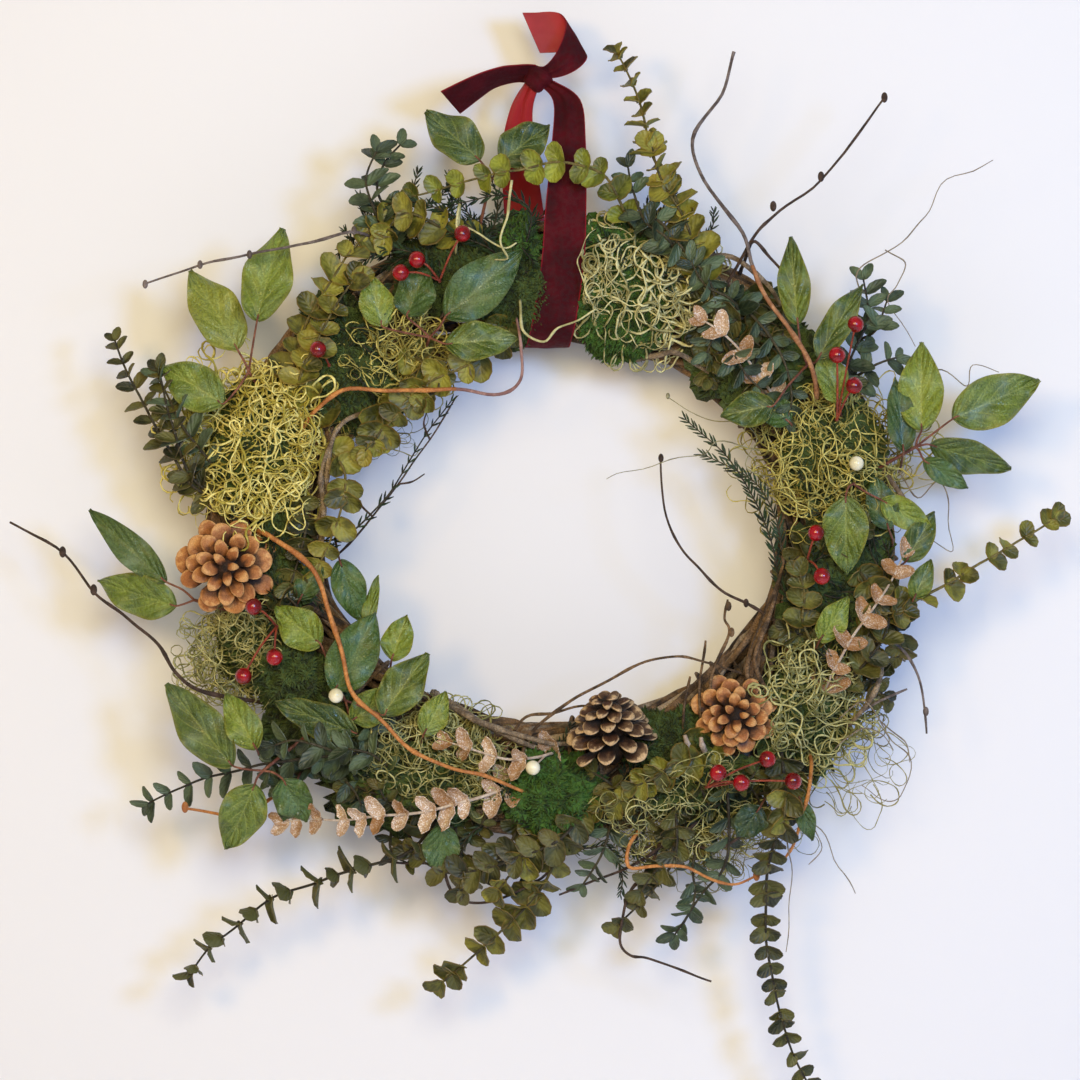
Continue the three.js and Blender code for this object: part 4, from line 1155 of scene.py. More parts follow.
@dataclass(frozen=True)
class GrapevineRing:
    """Thin vines wound round each other into an oval ring."""

    centre: tuple[float, float] = (550, 530)
    half_width: float = 163 * MM
    half_height: float = 140.5 * MM
    across: float = 33.2 * MM
    deep: float = 20.4 * MM
    outer_vines: int = 44
    inner_vines: int = 16
    turns: int = 2
    strands: int = 5
    steps: int = 96
    half_turns: float = 2.04
    sways: Range = (0.3, 0.2)
    groove: float = 0.09
    tuck: float = 0.5
    tuck_from: float = 0.94
    tuck_over: float = 0.06
    wander: float = 0.06
    gnarl: float = 0.15
    thick: Range = (1.5, 2.5)
    pale_every: int = 5
    inner_reach: float = 0.7
    heart: float = 15 * MM
    heart_steps: int = 60
    bindings: tuple[float, ...] = (0.55, 1.1, 2.2, 3.05, 3.9, 4.75, 5.35, 6.0)
    binding_turns: float = 2.5
    binding_steps: int = 60
    binding_radius: float = 1.1 * MM
    binding_out: float = 1.03
    binding_tuck: float = 0.8
    binding_end: float = 0.04

    def point(self, angle: float, across: float, deep: float) -> Vector:
        """Gives a point of the bundle of vines.

        Args:
            angle: Its angle round the ring.
            across: How far it is outside the ring's middle line.
            deep: How far it is behind the ring's plane.

        Returns:
            The point.
        """
        outward = Vector((math.cos(angle) / self.half_width, math.sin(angle) / self.half_height)).normalized()
        middle = place((*self.centre, 0))
        return Vector((
            middle.x + self.half_width * math.cos(angle) + outward.x * across,
            deep,
            middle.z + self.half_height * math.sin(angle) + outward.y * across,
        ))

    def skin(self, point: Vector) -> float:
        """Gives how far the vines stand out in front of the ring's plane.

        Args:
            point: A point of the front, at any depth.

        Returns:
            The distance in metres; none beside the ring.
        """
        middle = place((*self.centre, 0))
        x, z = point.x - middle.x, point.z - middle.z
        angle = math.atan2(z / self.half_height, x / self.half_width)
        line = self.point(angle, 0, 0)
        off = math.hypot(point.x - line.x, point.z - line.z) / (self.across + 2 * MM)
        return (self.deep + 2 * MM) * math.sqrt(max(0.0, 1 - off * off))

    def vine(self, growth: Growth, number: int, reach: float, dice: Dice) -> None:
        """Winds one vine once round the ring, with both of its ends tucked in.

        Args:
            growth: The piece that it is part of.
            number: Which vine it is, which sets where it lies in the bundle.
            reach: How far from the bundle's middle it lies, as a share.
            dice: Where its start, sway and thickness come from.
        """
        start, phase = dice.draw(0, FULL_TURN), number * GOLDEN_ANGLE
        sway, thick = dice.draw(0, 6), dice.draw(*self.thick) * MM
        points, radii = [], []
        for i in range(self.steps + 1):
            share = i / self.steps
            angle = start + share * self.half_turns * math.pi
            own = phase + self.sways[0] * math.sin(2 * angle + sway)
            own += self.sways[1] * math.sin(5 * angle + 3 * sway)
            groove = 1 - self.groove * (0.5 + 0.5 * math.cos(self.strands * own))
            tuck = 1 - self.tuck * max(0.0, abs(share - 0.5) * 2 - self.tuck_from) / self.tuck_over
            wander = 1 + self.wander * math.sin(7 * angle + 2 * sway)
            out = reach * groove * tuck * min(1.0, wander)
            wound = own + self.turns * angle
            deep = -self.deep * out * math.sin(wound)
            points.append(self.point(angle, self.across * out * math.cos(wound), deep))
            radii.append(thick * (1 + self.gnarl * math.sin(11 * angle + sway)))
        finish = BARK if number % self.pale_every else PALE_BARK
        growth.strand(points, radii, finish, dice.draw(0.1, 0.95))

    def binding(self, growth: Growth, angle: float, dice: Dice) -> None:
        """Wraps a thin vine across the bundle a few times.

        Args:
            growth: The piece that it is part of.
            angle: Where round the ring it starts.
            dice: Where its drift and tint come from.
        """
        drift = dice.draw(0.18, 0.3)
        points = []
        for i in range(self.binding_steps + 1):
            share = i / self.binding_steps
            round_it = share * self.binding_turns * FULL_TURN
            here = angle + drift * share
            inside = self.binding_end < share < 1 - self.binding_end
            out = self.binding_out if inside else self.binding_tuck
            across = self.across * out * math.cos(round_it)
            points.append(self.point(here, across, -self.deep * out * math.sin(round_it)))
        growth.strand(points, self.binding_radius, BARK, dice.draw(0.3, 0.9))

    def build(self) -> None:
        """Builds the ring: a heart in the darkest bark tone as painted shade inside the bundle, two coats of
        vines and their bindings.
        """
        growth = Growth("grapevine_ring_vines")
        dice = Dice(1)
        heart = [self.point(i / self.heart_steps * FULL_TURN, 0, 0) for i in range(self.heart_steps + 2)]
        # The heart takes the darkest bark tone: painted shade for the depth seen between the vines.
        growth.strand(heart, self.heart, BARK, 0.0, 3)
        for number in range(self.inner_vines):
            self.vine(growth, number + 3, self.inner_reach, dice)
        for number in range(self.outer_vines):
            self.vine(growth, number, dice.draw(0.93, 1.0), dice)
        for angle in self.bindings:
            self.binding(growth, angle, dice)
        growth.grown("grapevine", "grapevine_ring")


RING = GrapevineRing()


def on_vines(x: float, y: float, out: float) -> Vector:
    """Gives a point in front of the vines.

    Args:
        x: Its place on the grid to the right, in steps.
        y: Its place on the grid downwards, in steps.
        out: How far in front of the vines it is, in millimetres.

    Returns:
        The point.
    """
    point = place((x, y, 0))
    point.y = -(RING.skin(point) + out * MM)
    return point


@dataclass(frozen=True)
class Station:
    """A place on the ribbon: its middle, the way its width runs as (x, out, z), and the width in steps."""

    at: Spot
    across: tuple[float, float, float]
    width: float


def stations(*rows: tuple[Spot, Spot, float]) -> tuple[Station, ...]:
    """Turns rows of numbers into stations."""
    return tuple(Station(*row) for row in rows)


@dataclass(frozen=True)
class VelvetRibbon:
    """One length of velvet ribbon: a loop round the ring, a knot over the nail and two tails."""

    loop: tuple[Station, ...] = stations(
        ((546, 78, 6), (0.7, 0.7, 0), 24),
        ((567, 98, 11), (0.95, 0.3, 0), 29),
        ((569, 140, 20), (1, 0.1, 0), 34),
        ((566, 205, 24), (1, 0, 0), 41),
        ((563, 260, 26), (1, 0, 0), 43),
        ((555, 316, 24.5), (1, 0, 0), 44),
        ((550, 338, 15), (1, 0, 0), 44),
        ((547, 345.5, 0), (1, 0, 0), 44),
        ((543, 338, -15), (1, 0, 0), 44),
        ((538, 315, -24.5), (1, 0, 0), 44),
        ((530, 260, -25.5), (1, 0, 0), 43),
        ((523, 200, -23), (1, 0, 0), 40),
        ((518, 145, -12), (1, 0.1, 0), 34),
        ((521, 104, -2), (0.95, 0.3, 0), 24),
        ((532, 78, 4), (0.7, 0.7, 0), 22),
    )
    left_tail: tuple[Station, ...] = stations(
        ((536, 70, 5), (0, -0.7, -0.7), 24),
        ((518, 70, 7), (0, -0.9, -0.4), 34),
        ((498, 74.5, 9), (-0.1, -0.92, -0.36), 44),
        ((478, 84, 11), (0.1, -0.9, -0.42), 44),
        ((450, 100.5, 12), (0.42, -0.8, -0.42), 44),
    )
    upper_tail: tuple[Station, ...] = stations(
        ((542, 70, 6), (-0.7, 0, 0.7), 14),
        ((554, 67, 8), (-0.75, 0.1, 0.65), 19),
        ((565, 59, 9), (-0.7, 0.15, 0.7), 26),
        ((573.5, 47, 8), (-0.6, 0.1, 0.8), 34),
        ((577, 35, 4.5), (-0.52, -0.1, 0.85), 41),
        ((572, 27.5, 0), (-0.48, -0.1, 0.87), 44),
        ((560, 25.5, -3), (-0.44, 0, 0.9), 44.6),
        ((545.5, 26.5, -3.5), (-0.42, 0, 0.91), 44.6),
        ((531, 27, -3), (-0.4, 0, 0.917), 44.6),
    )
    columns: int = 10
    per_station: int = 7
    thickness: float = 0.7 * MM
    knot_at: Spot = (539, 74, 5)
    knot_half: tuple[float, float, float] = (8 * MM, 7 * MM, 7.5 * MM)
    knot_takes: float = 60 * MM
    loop_folds: float = 2.2 * MM
    tail_folds: float = 1.6 * MM
    half_folds: float = 2.2
    crown: float = 0.5 * MM
    least_narrowed: float = 0.05
    crease_runs: Range = (0.45, 0.9)
    crease_count: float = 5.2
    crease_bend: float = 1.2
    crease_depth: float = 0.11
    dents: float = 0.05

    def band(self, growth: Growth, stations: Sequence[Station], gathered: float) -> float:
        """Lays one run of ribbon through its stations.

        Args:
            growth: The piece that it is part of.
            stations: Where it runs.
            gathered: How deep the folds are where it leaves the knot, in metres.

        Returns:
            The length of its middle line.
        """
        middle = Course([place(s.at) for s in stations], self.per_station)
        ways = Course([Vector((s.across[0], -s.across[1], s.across[2])) for s in stations], self.per_station)
        widths = Course([Vector((s.width, 0, 0)) for s in stations], self.per_station)
        last = len(middle.points) - 1
        made = bmesh.ops.create_grid(
            growth.bm, x_segments=last, y_segments=self.columns, size=1, calc_uvs=True
        )
        for corner in made["verts"]:
            i = round((corner.co.x + 1) / 2 * last)
            side = corner.co.y
            run = (middle.points[min(i + 1, last)] - middle.points[max(i - 1, 0)]).normalized()
            across = ways.points[i].normalized()
            thick = run.cross(across).normalized()
            width = widths.points[i].x * STEP
            narrowed = max(self.least_narrowed, 1 - width / RIBBON_WIDTH)
            fold = gathered * narrowed * math.cos(side * self.half_folds * math.pi)
            crown = self.crown * (1 - side * side)
            corner.co = middle.points[i] + across * side * width / 2 + thick * (fold + crown)
        growth.sheet(made["verts"], self.thickness, VELVET, 0.5, SATIN)
        return middle.length

    def knot(self) -> bpy.types.Object:
        """Ties the knot: a tight lump with the creases of the turns that it is made of.

        Returns:
            The finished knot.
        """
        growth = Growth("velvet_ribbon_knot")
        half = self.knot_half

        def crease(corner: Vector) -> Vector:
            """Moves a corner of the unit ball to its place on the creased lump."""
            x, y, z = corner
            run = self.crease_runs[0] * x + self.crease_runs[1] * z
            turn = math.sin(self.crease_count * run + self.crease_bend * math.sin(2 * x))
            pull = 1 + self.crease_depth * turn + self.dents * math.sin(4 * x - 3 * z)
            return Vector((x * half[0], y * half[1], z * half[2])) * pull

        made = bmesh.ops.create_uvsphere(growth.bm, u_segments=40, v_segments=28, radius=1)
        for corner in made["verts"]:
            corner.co = place(self.knot_at) + crease(corner.co)
        uv = growth.bm.loops.layers.uv[UV_NAME]
        faces = growth.around(made["verts"])
        growth.mark(faces, growth.paint(VELVET), 0.5)
        for loop in (loop for face in faces for loop in face.loops):
            loop[uv].uv = (0.5, 0.5)
        return growth.grown("velvet")

    def build(self) -> None:
        """Builds the ribbon: its knot and its cloth."""
        knot = self.knot()
        growth = Growth("velvet_ribbon_cloth")
        length = self.band(growth, self.loop, self.loop_folds)
        length += self.band(growth, self.left_tail, self.tail_folds)
        length += self.band(growth, self.upper_tail, self.tail_folds)
        cloth = growth.grown("velvet", "velvet_ribbon")


@dataclass(frozen=True)
class PineCone:
    """An open cone: scales set round a heart, dark as painted shade, by the golden angle."""

    node: str
    base: Spot
    tilt: tuple[float, float]
    half: float
    height: float
    seed: int
    scales: int = 31
    finish: Finish = CONE
    open: float = 1.0
    heart_steps: int = 8
    heart_run: Range = (-0.1, 0.95)
    heart_girth: float = 0.36
    peg: tuple[float, float] = (8 * MM, 2.4 * MM)
    reach: Range = (0.1, 0.9)
    crowding: float = 0.6
    slope: Range = (70, 62)
    past: float = 1.07
    sinks: float = 0.8
    long: Range = (0.46, 0.28)
    wide: Range = (0.1, 0.46)
    thick: Range = (0.17, 0.05)

    def heart(self, growth: Growth, base: Vector, axis: Vector) -> None:
        """Adds the heart, dark as painted shade, and the peg that holds the cone.

        Args:
            growth: The piece that they are part of.
            base: The middle of the cone's foot.
            axis: The unit vector from there to its tip.
        """
        shares = [i / self.heart_steps for i in range(self.heart_steps + 1)]
        low, run = self.heart_run
        points = [base + axis * (self.height * MM) * (low + run * share) for share in shares]
        widest = self.half * MM * self.heart_girth
        girth = [widest * math.sin(math.pi * (0.2 + 0.75 * share)) for share in shares]
        growth.strand(points, girth, SHADED_CONE_HEART, 0.3, 3)
        reach, radius = self.peg
        growth.stem([base + axis * reach, base - axis * reach], radius, radius, SHADED_CONE_HEART)

    def build(self) -> None:
        """Builds the cone from the scales at its tip to the lowest ones."""
        growth = Growth(f"{self.node}_scales")
        dice = Dice(self.seed)
        base = place(self.base)
        axis = Vector((self.tilt[0], -1, self.tilt[1])).normalized()
        side = Vector((0, 0, 1)).cross(axis).normalized()
        up = axis.cross(side)
        half, height = self.half * MM, self.height * MM
        self.heart(growth, base, axis)
        for i in range(self.scales):
            reach = self.reach[0] + self.reach[1] * ((i + 0.5) / self.scales) ** self.crowding
            angle = i * GOLDEN_ANGLE + dice.draw(-0.2, 0.2)
            outward = side * math.cos(angle) + up * math.sin(angle)
            steep = (self.slope[0] - self.slope[1] * reach) * self.open
            slope = math.radians(steep) + dice.draw(-0.16, 0.16)
            way = outward * math.cos(slope) + axis * math.sin(slope)
            level = 1 - self.sinks * reach**2
            tip = base + outward * half * reach * self.past + axis * height * level
            long = half * (self.long[0] + self.long[1] * reach) * dice.draw(0.9, 1.08)
            wide = half * (self.wide[0] + self.wide[1] * reach) * dice.draw(0.82, 1.14)
            face = axis * math.cos(slope) - outward * math.sin(slope) + dice.toss(0.3)
            size = (long, wide, half * (self.thick[0] - self.thick[1] * reach))
            growth.scale(tip - way * long, way, face, size, self.finish, dice.draw(0.0, 1.0))
        growth.grown("cone", self.node)


CONES = (
    PineCone("pine_cone_left", (229, 566, 21), (0, 0), 28, 34, 71),
    PineCone("pine_cone_right", (735, 714, 22), (0, 0), 23.5, 30, 72),
    PineCone("pine_cone_middle", (612, 752, 26), (-0.1, 1.2), 25, 44, 73, 44, SHADED_CONE, 0.4),
)


@dataclass(frozen=True)
class BerryPick:
    """Red berries on wires that part from one stalk."""

    node: str
    root: Spot
    fork: float
    berries: tuple[Spot, ...]
    radius: float = 5 * MM
    wire: float = 0.7 * MM
    bow: Spot = (0, -3 * MM, 2 * MM)
    dimple_from: float = 0.9
    dimple_over: float = 0.1
    dimple: float = 0.1

    def build(self) -> None:
        """Builds the stalk, then each berry on its wire."""
        growth = Growth(f"{self.node}_pick")
        fork = place((self.root[0], self.root[1], self.fork))
        growth.strand([place(self.root), fork], self.wire * 1.5, RED_WIRE, 0.3)
        for number, spot in enumerate(self.berries):
            centre = place(spot)
            bow = (fork + centre) / 2 + Vector(self.bow)
            growth.stem(Course([fork, bow, centre], 4).points, self.wire, self.wire * 0.8, RED_WIRE, 0.6)
            dice = Dice(900 + number)
            eye = (dice.toss(0.6) + FRONT * 0.2).normalized()

            def dimple(corner: Vector, eye: Vector = eye) -> Vector:
                """Draws the corners round the berry's eye in."""
                near = max(0.0, corner.normalized().dot(eye) - self.dimple_from) / self.dimple_over
                return corner * (1 - self.dimple * near)

            growth.ball(centre, self.radius * dice.draw(0.92, 1.04), BERRY, dimple)
        growth.grown("berry", self.node)


BERRY_PICKS = (
    BerryPick("berries_top_left", (440, 282, 8), 36, ((463, 236, 44), (418, 262, 46), (402, 275, 46))),
    BerryPick("berries_upper_left", (330, 366, 8), 34, ((320, 351, 46),)),
    BerryPick("berries_left", (278, 626, 8), 36, ((257, 606, 54), (277, 656, 48), (246, 675, 46))),
    BerryPick("berries_upper_right", (836, 420, 6), 34, ((853, 326, 44), (834, 357, 50), (851, 387, 48))),
    BerryPick("berries_right", (806, 560, 6), 36, ((814, 533, 44), (819, 576, 50))),
    BerryPick(
        "berries_lower_right", (706, 786, 8), 38,
        ((765, 757, 50), (716, 770, 54), (739, 780, 52), (791, 779, 46)),
    ),
)


def risen(route: Sequence[Spot]) -> list[Vector]:
    """Leads a stem straight out of the vines before it follows its route.

    Args:
        route: Its root in the vines and the spots that it passes.

    Returns:
        The points of its line.
    """
    rise = on_vines(route[0][0], route[0][1], 2)
    return [place(route[0]), rise, *(place(spot) for spot in route[1:])]


@dataclass(frozen=True)
class LeafyStem:
    """A stem of paired leaves, each pair turned a quarter round from the last."""

    name: str
    kind: Kind
    face: float
    seed: int
    routes: tuple[tuple[Spot, ...], ...]
    scale: float = 1.0
    node: bool = True
    gap: float = 1.0
    pearl: Spot | None = None
    lit: float = 1.0
    stem_radius: float = 1.1 * MM
    first_pair: float = 0.1
    last_leaf: float = 0.999
    least_front: float = 0.3
    quarter: float = 1.3
    shrinks: float = 0.3
    end_lean: float = 0.9
    needle_lean: float = 1.3
    needle_stem: float = 0.6
    thins: float = 0.5
    pearl_share: float = 0.3
    wander: float = 1.4 * MM
    wanders: float = 40

    def clothe(self, growth: Growth, course: Course, dice: Dice) -> None:
        """Sets the leaves along one stem.

        Args:
            growth: The piece that they are part of.
            course: The stem's line.
            dice: Where their turns and sizes come from.
        """
        kind = self.kind
        pairs = max(2, round(course.length * (1 - self.first_pair) / kind.gap / self.gap))
        for pair in range(pairs + 1):
            place_of = min(pairs, pair + 0.5 + dice.draw(-0.3, 0.3))
            share = self.first_pair + (1 - self.first_pair) * place_of / pairs
            foot, run = course.at(min(share, self.last_leaf))
            front = FRONT - run * FRONT.dot(run)
            if front.length < self.least_front:
                continue
            front.normalize()
            side = run.cross(front)
            quarter = (pair % 2) * (1 - self.face) * self.quarter
            size = self.scale * (1 - self.shrinks * share**2)
            for hand in (1, -1):
                turn = quarter + dice.draw(-0.3, 0.3)
                scale = size * dice.draw(0.78, 1.18)
                lean = dice.draw(0.35, 0.75) + (self.end_lean if pair == pairs else 0)
                if kind is Kind.CEDAR:
                    lean += self.needle_lean
                angle = turn * hand
                way = side * hand * math.cos(angle) + front * math.sin(angle) + run * lean
                normal = run * (1 - self.face) + FRONT * self.face + dice.toss(0.22)
                tip = foot + way.normalized() * kind.long * scale
                tint = self.lit * dice.draw(0.1, 0.9)
                growth.leaf(foot, tip, kind.wide * scale, normal, kind.form, kind.finish, tint, dice)

    def build(self) -> None:
        """Builds the stems with their leaves, and the pearl if there is one."""
        growth = Growth(f"{self.name}_leaves")
        for number, route in enumerate(self.routes):
            dice = Dice(self.seed + 1000 * number)
            line = Course(risen(route)).shaken(self.wander, self.wanders, self.seed + number)
            course = Course(line, 1)
            thin = self.stem_radius * (self.needle_stem if self.kind is Kind.CEDAR else 1)
            growth.stem(course.points, thin, thin * self.thins, self.kind.stem, dice.draw(0.2, 0.8))
            self.clothe(growth, course, dice)
            if self.pearl and number == 0:
                growth.pearl(course.at(self.pearl_share)[0], place(self.pearl))
        growth.grown(self.kind.slot, *([self.name] if self.node else []))


LEAFY_STEMS = (
    LeafyStem("eucalyptus_top_left", Kind.FRESH, 0.75, 11, (
        ((634, 232, 8), (622, 205, 30), (600, 174, 34), (560, 165, 37), (520, 172, 38), (478, 178, 34),
         (440, 190, 30), (410, 197, 26)),
    ), 0.84, gap=1.15, lit=0.85),
    LeafyStem("eucalyptus_top_right", Kind.OLIVE, 0.35, 12, (
        ((688, 270, 8), (682, 222, 32), (668, 184, 32), (652, 155, 28), (644, 120, 22), (634, 85, 18),
         (618, 50, 14)),
    ), 0.85, gap=0.7),
    LeafyStem("eucalyptus_upper_left", Kind.OLIVE, 0.6, 13, (
        ((286, 392, 6), (296, 362, 29), (308, 325, 34), (328, 288, 34), (352, 252, 31), (384, 220, 26)),
    )),
    LeafyStem("eucalyptus_inner_top", Kind.OLIVE, 0.7, 14, (
        ((512, 320, 8), (492, 352, 27), (458, 370, 30), (425, 388, 31), (399, 414, 31), (378, 441, 30)),
    ), 0.95),
    LeafyStem("eucalyptus_inner_left", Kind.OLIVE, 0.7, 15, (
        ((322, 446, 8), (344, 470, 31), (342, 505, 33), (331, 540, 34), (318, 572, 32)),
    ), 0.95),
    LeafyStem("eucalyptus_right", Kind.OLIVE, 0.6, 16, (
        ((856, 634, 6), (884, 618, 27), (925, 595, 30), (964, 573, 27), (1005, 549, 22), (1040, 528, 18),
         (1056, 518, 16)),
    ), 0.84, gap=1.1, lit=0.6),
    LeafyStem("eucalyptus_lower_left", Kind.DUSK, 0.12, 17, (
        ((440, 815, 6), (410, 850, 25), (365, 867, 24), (320, 881, 21), (275, 898, 18), (238, 926, 15),
         (208, 949, 12), (188, 975, 10)),
    ), 1.0, gap=1.05),
    LeafyStem("eucalyptus_bottom", Kind.OLIVE, 0.55, 18, (
        ((566, 815, 6), (556, 858, 24), (538, 893, 18), (505, 928, 15), (470, 962, 12), (440, 986, 10)),
    ), lit=0.45),
    LeafyStem("eucalyptus_trailing", Kind.DUSK, 0.62, 19, (
        ((780, 742, 6), (786, 806, 30), (773, 847, 27), (767, 885, 22), (766, 926, 18), (771, 969, 14),
         (782, 1020, 12), (798, 1062, 10), (813, 1092, 9)),
    ), 0.78, gap=0.78),
    LeafyStem("eucalyptus_bottom_small", Kind.DUSK, 0.6, 20, (
        ((672, 788, 6), (674, 856, 26), (648, 897, 17), (618, 928, 13)),
    ), 0.85),
    LeafyStem("eucalyptus_bottom_left", Kind.DUSK, 0.7, 21, (
        ((588, 806, 8), (560, 838, 33), (518, 856, 31), (480, 870, 27), (444, 872, 24), (412, 852, 24)),
    ), 0.95),
    LeafyStem("eucalyptus_bottom_right", Kind.OLIVE, 0.7, 22, (
        ((706, 742, 10), (690, 758, 33), (655, 776, 36), (622, 797, 34), (600, 808, 30)),
    ), 0.95, gap=1.2, lit=0.75),
    LeafyStem("eucalyptus_dark_left", Kind.SLIM, 0.55, 23, (
        ((214, 496, 6), (190, 484, 19), (158, 432, 18), (138, 395, 15), (122, 362, 12), (113, 338, 10)),
        ((214, 496, 6), (190, 478, 19), (176, 440, 24), (166, 405, 24), (158, 368, 20)),
    ), 1.0, gap=0.9),
    LeafyStem("eucalyptus_dark_right", Kind.DUSK, 0.6, 24, (
        ((838, 690, 8), (862, 664, 30), (882, 636, 33), (890, 606, 31)),
    )),
    LeafyStem("narrow_top", Kind.BLUISH, 0.6, 31, (
        ((638, 238, 8), (654, 222, 33), (675, 241, 37), (696, 266, 38), (711, 292, 38), (715, 324, 36),
         (705, 354, 33)),
    )),
    LeafyStem("narrow_upper_right", Kind.BLUISH, 0.6, 32, (
        ((726, 300, 8), (748, 314, 33), (768, 340, 37), (785, 368, 38), (791, 398, 36), (786, 420, 34)),
    )),
    LeafyStem("narrow_lower_left", Kind.BLUISH, 0.6, 33, (
        ((368, 748, 8), (345, 756, 29), (304, 758, 31), (259, 765, 27), (212, 777, 21), (175, 790, 16),
         (145, 805, 12)),
    )),
    LeafyStem("narrow_upper_left", Kind.BLUISH, 0.6, 34, (
        ((398, 244, 6), (388, 214, 24), (378, 188, 22), (386, 162, 19), (400, 143, 16)),
    )),
    LeafyStem("narrow_right", Kind.BLUISH, 0.6, 35, (
        ((838, 388, 6), (856, 350, 27), (868, 315, 24), (864, 280, 19)),
    ), 1.1),
    LeafyStem("narrow_bottom", Kind.BLUISH, 0.6, 36, (
        ((728, 768, 6), (728, 856, 24), (704, 896, 16), (676, 936, 12)),
    )),
    LeafyStem("glitter_right", Kind.FROST, 0.7, 41, (
        ((820, 700, 8), (834, 668, 34), (852, 635, 38), (873, 604, 39), (890, 580, 37), (902, 556, 35)),
    ), 0.88, lit=0.2),
    LeafyStem("glitter_bottom", Kind.FROST, 0.6, 42, (
        ((556, 752, 8), (538, 757, 35), (510, 758, 38), (480, 751, 38), (451, 743, 34)),
    ), pearl=(533, 766, 44)),
    LeafyStem("glitter_lower_left", Kind.FROST, 0.6, 43, (
        ((516, 782, 8), (490, 794, 34), (455, 802, 38), (419, 812, 38), (385, 815, 35), (346, 819, 31),
         (312, 819, 27), (286, 821, 24)),
    ), 0.95, gap=0.72),
    LeafyStem("glitter_upper_right", Kind.FROST, 0.7, 44, (
        ((776, 400, 8), (757, 374, 33), (740, 352, 40), (722, 335, 42), (704, 323, 42)),
    )),
    LeafyStem("cedar_inner_right", Kind.CEDAR, 0.8, 51, (
        ((800, 608, 6), (781, 588, 27), (770, 540, 28), (752, 494, 26), (722, 452, 23), (688, 420, 19)),
    )),
    LeafyStem("cedar_inner_left", Kind.CEDAR, 0.7, 52, (
        ((312, 542, 6), (345, 536, 28), (378, 506, 27), (403, 471, 25), (429, 431, 24), (450, 402, 23)),
    ), 0.9, gap=2.2),
    LeafyStem("cedar_top_left", Kind.CEDAR, 0.8, 53, (
        ((510, 276, 8), (492, 252, 29), (450, 234, 32), (404, 216, 28), (362, 198, 22)),
        ((500, 268, 8), (470, 226, 32), (420, 204, 30), (380, 206, 24)),
        ((520, 262, 8), (530, 214, 30), (500, 196, 30), (452, 206, 30)),
        ((440, 300, 8), (424, 262, 32), (390, 250, 30), (362, 262, 26)),
    )),
    LeafyStem("olive_filling_top", Kind.OLIVE, 0.65, 101, (
        ((470, 250, 8), (432, 222, 34), (404, 214, 34), (384, 236, 30)),
        ((700, 290, 8), (694, 250, 36), (680, 214, 36), (660, 178, 34), (652, 148, 30)),
    ), node=False),
    LeafyStem("dark_filling_left", Kind.DUSK, 0.6, 106, (
        ((300, 500, 8), (306, 524, 30), (300, 556, 32), (290, 584, 32)),
        ((268, 600, 8), (288, 596, 32), (304, 616, 32), (300, 640, 30)),
    ), 0.85, node=False),
    LeafyStem("olive_filling_left", Kind.OLIVE, 0.65, 102, (
        ((320, 420, 8), (300, 388, 36), (314, 350, 40), (334, 312, 40), (356, 280, 38)),
        ((372, 400, 8), (384, 424, 32), (366, 452, 34)),
        ((410, 350, 8), (440, 384, 30), (424, 400, 32)),
    ), 0.95, node=False),
    LeafyStem("olive_filling_bottom", Kind.OLIVE, 0.6, 103, (
        ((548, 826, 8), (528, 852, 30), (508, 878, 28), (498, 892, 24)),
        ((700, 770, 8), (676, 762, 40), (656, 776, 42), (634, 784, 42)),
        ((790, 776, 8), (786, 800, 34), (784, 824, 30)),
    ), 0.9, node=False, gap=1.1, lit=0.65),
    LeafyStem("olive_filling_right", Kind.OLIVE, 0.65, 104, (
        ((816, 650, 8), (802, 622, 38), (804, 596, 42), (798, 572, 42)),
        ((850, 560, 8), (868, 586, 34), (880, 612, 36), (904, 610, 34)),
    ), 0.9, node=False, lit=0.25),
    LeafyStem("dark_filling_bottom", Kind.DUSK, 0.6, 105, (
        ((520, 826, 8), (500, 856, 28), (474, 876, 24), (462, 892, 20)),
        ((680, 820, 8), (672, 850, 26), (654, 872, 22), (640, 892, 20)),
    ), 0.95, gap=1.2, node=False),
    LeafyStem("narrow_filling_right", Kind.BLUISH, 0.6, 107, (
        ((720, 330, 8), (732, 352, 38), (748, 376, 40), (766, 394, 38)),
        ((680, 268, 8), (668, 240, 38), (646, 222, 34), (633, 192, 28), (628, 166, 24)),
        ((740, 316, 8), (728, 298, 38), (706, 286, 40), (690, 262, 40)),
        ((856, 340, 8), (876, 330, 26), (888, 300, 22)),
        ((850, 380, 8), (872, 366, 28), (896, 358, 26)),
    ), node=False),
    LeafyStem("narrow_filling_left", Kind.BLUISH, 0.5, 108, (
        ((350, 760, 8), (322, 744, 38), (296, 738, 38), (276, 744, 36)),
        ((390, 770, 8), (372, 752, 36), (350, 746, 38)),
        ((214, 470, 8), (192, 440, 26), (172, 404, 24), (156, 376, 20)),
        ((392, 250, 8), (376, 214, 28), (366, 180, 24), (376, 150, 20)),
    ), 1.1, node=False),
    LeafyStem("narrow_filling_bottom", Kind.BLUISH, 0.5, 109, (
        ((610, 826, 8), (600, 856, 22), (584, 884, 18)),
        ((704, 826, 8), (694, 862, 20), (696, 896, 16), (684, 926, 12)),
    ), 0.9, node=False),
    LeafyStem("cedar_filling_right", Kind.CEDAR, 0.8, 110, (
        ((806, 590, 6), (786, 560, 26), (776, 520, 28), (752, 480, 26), (706, 457, 22)),
    ), node=False),
)


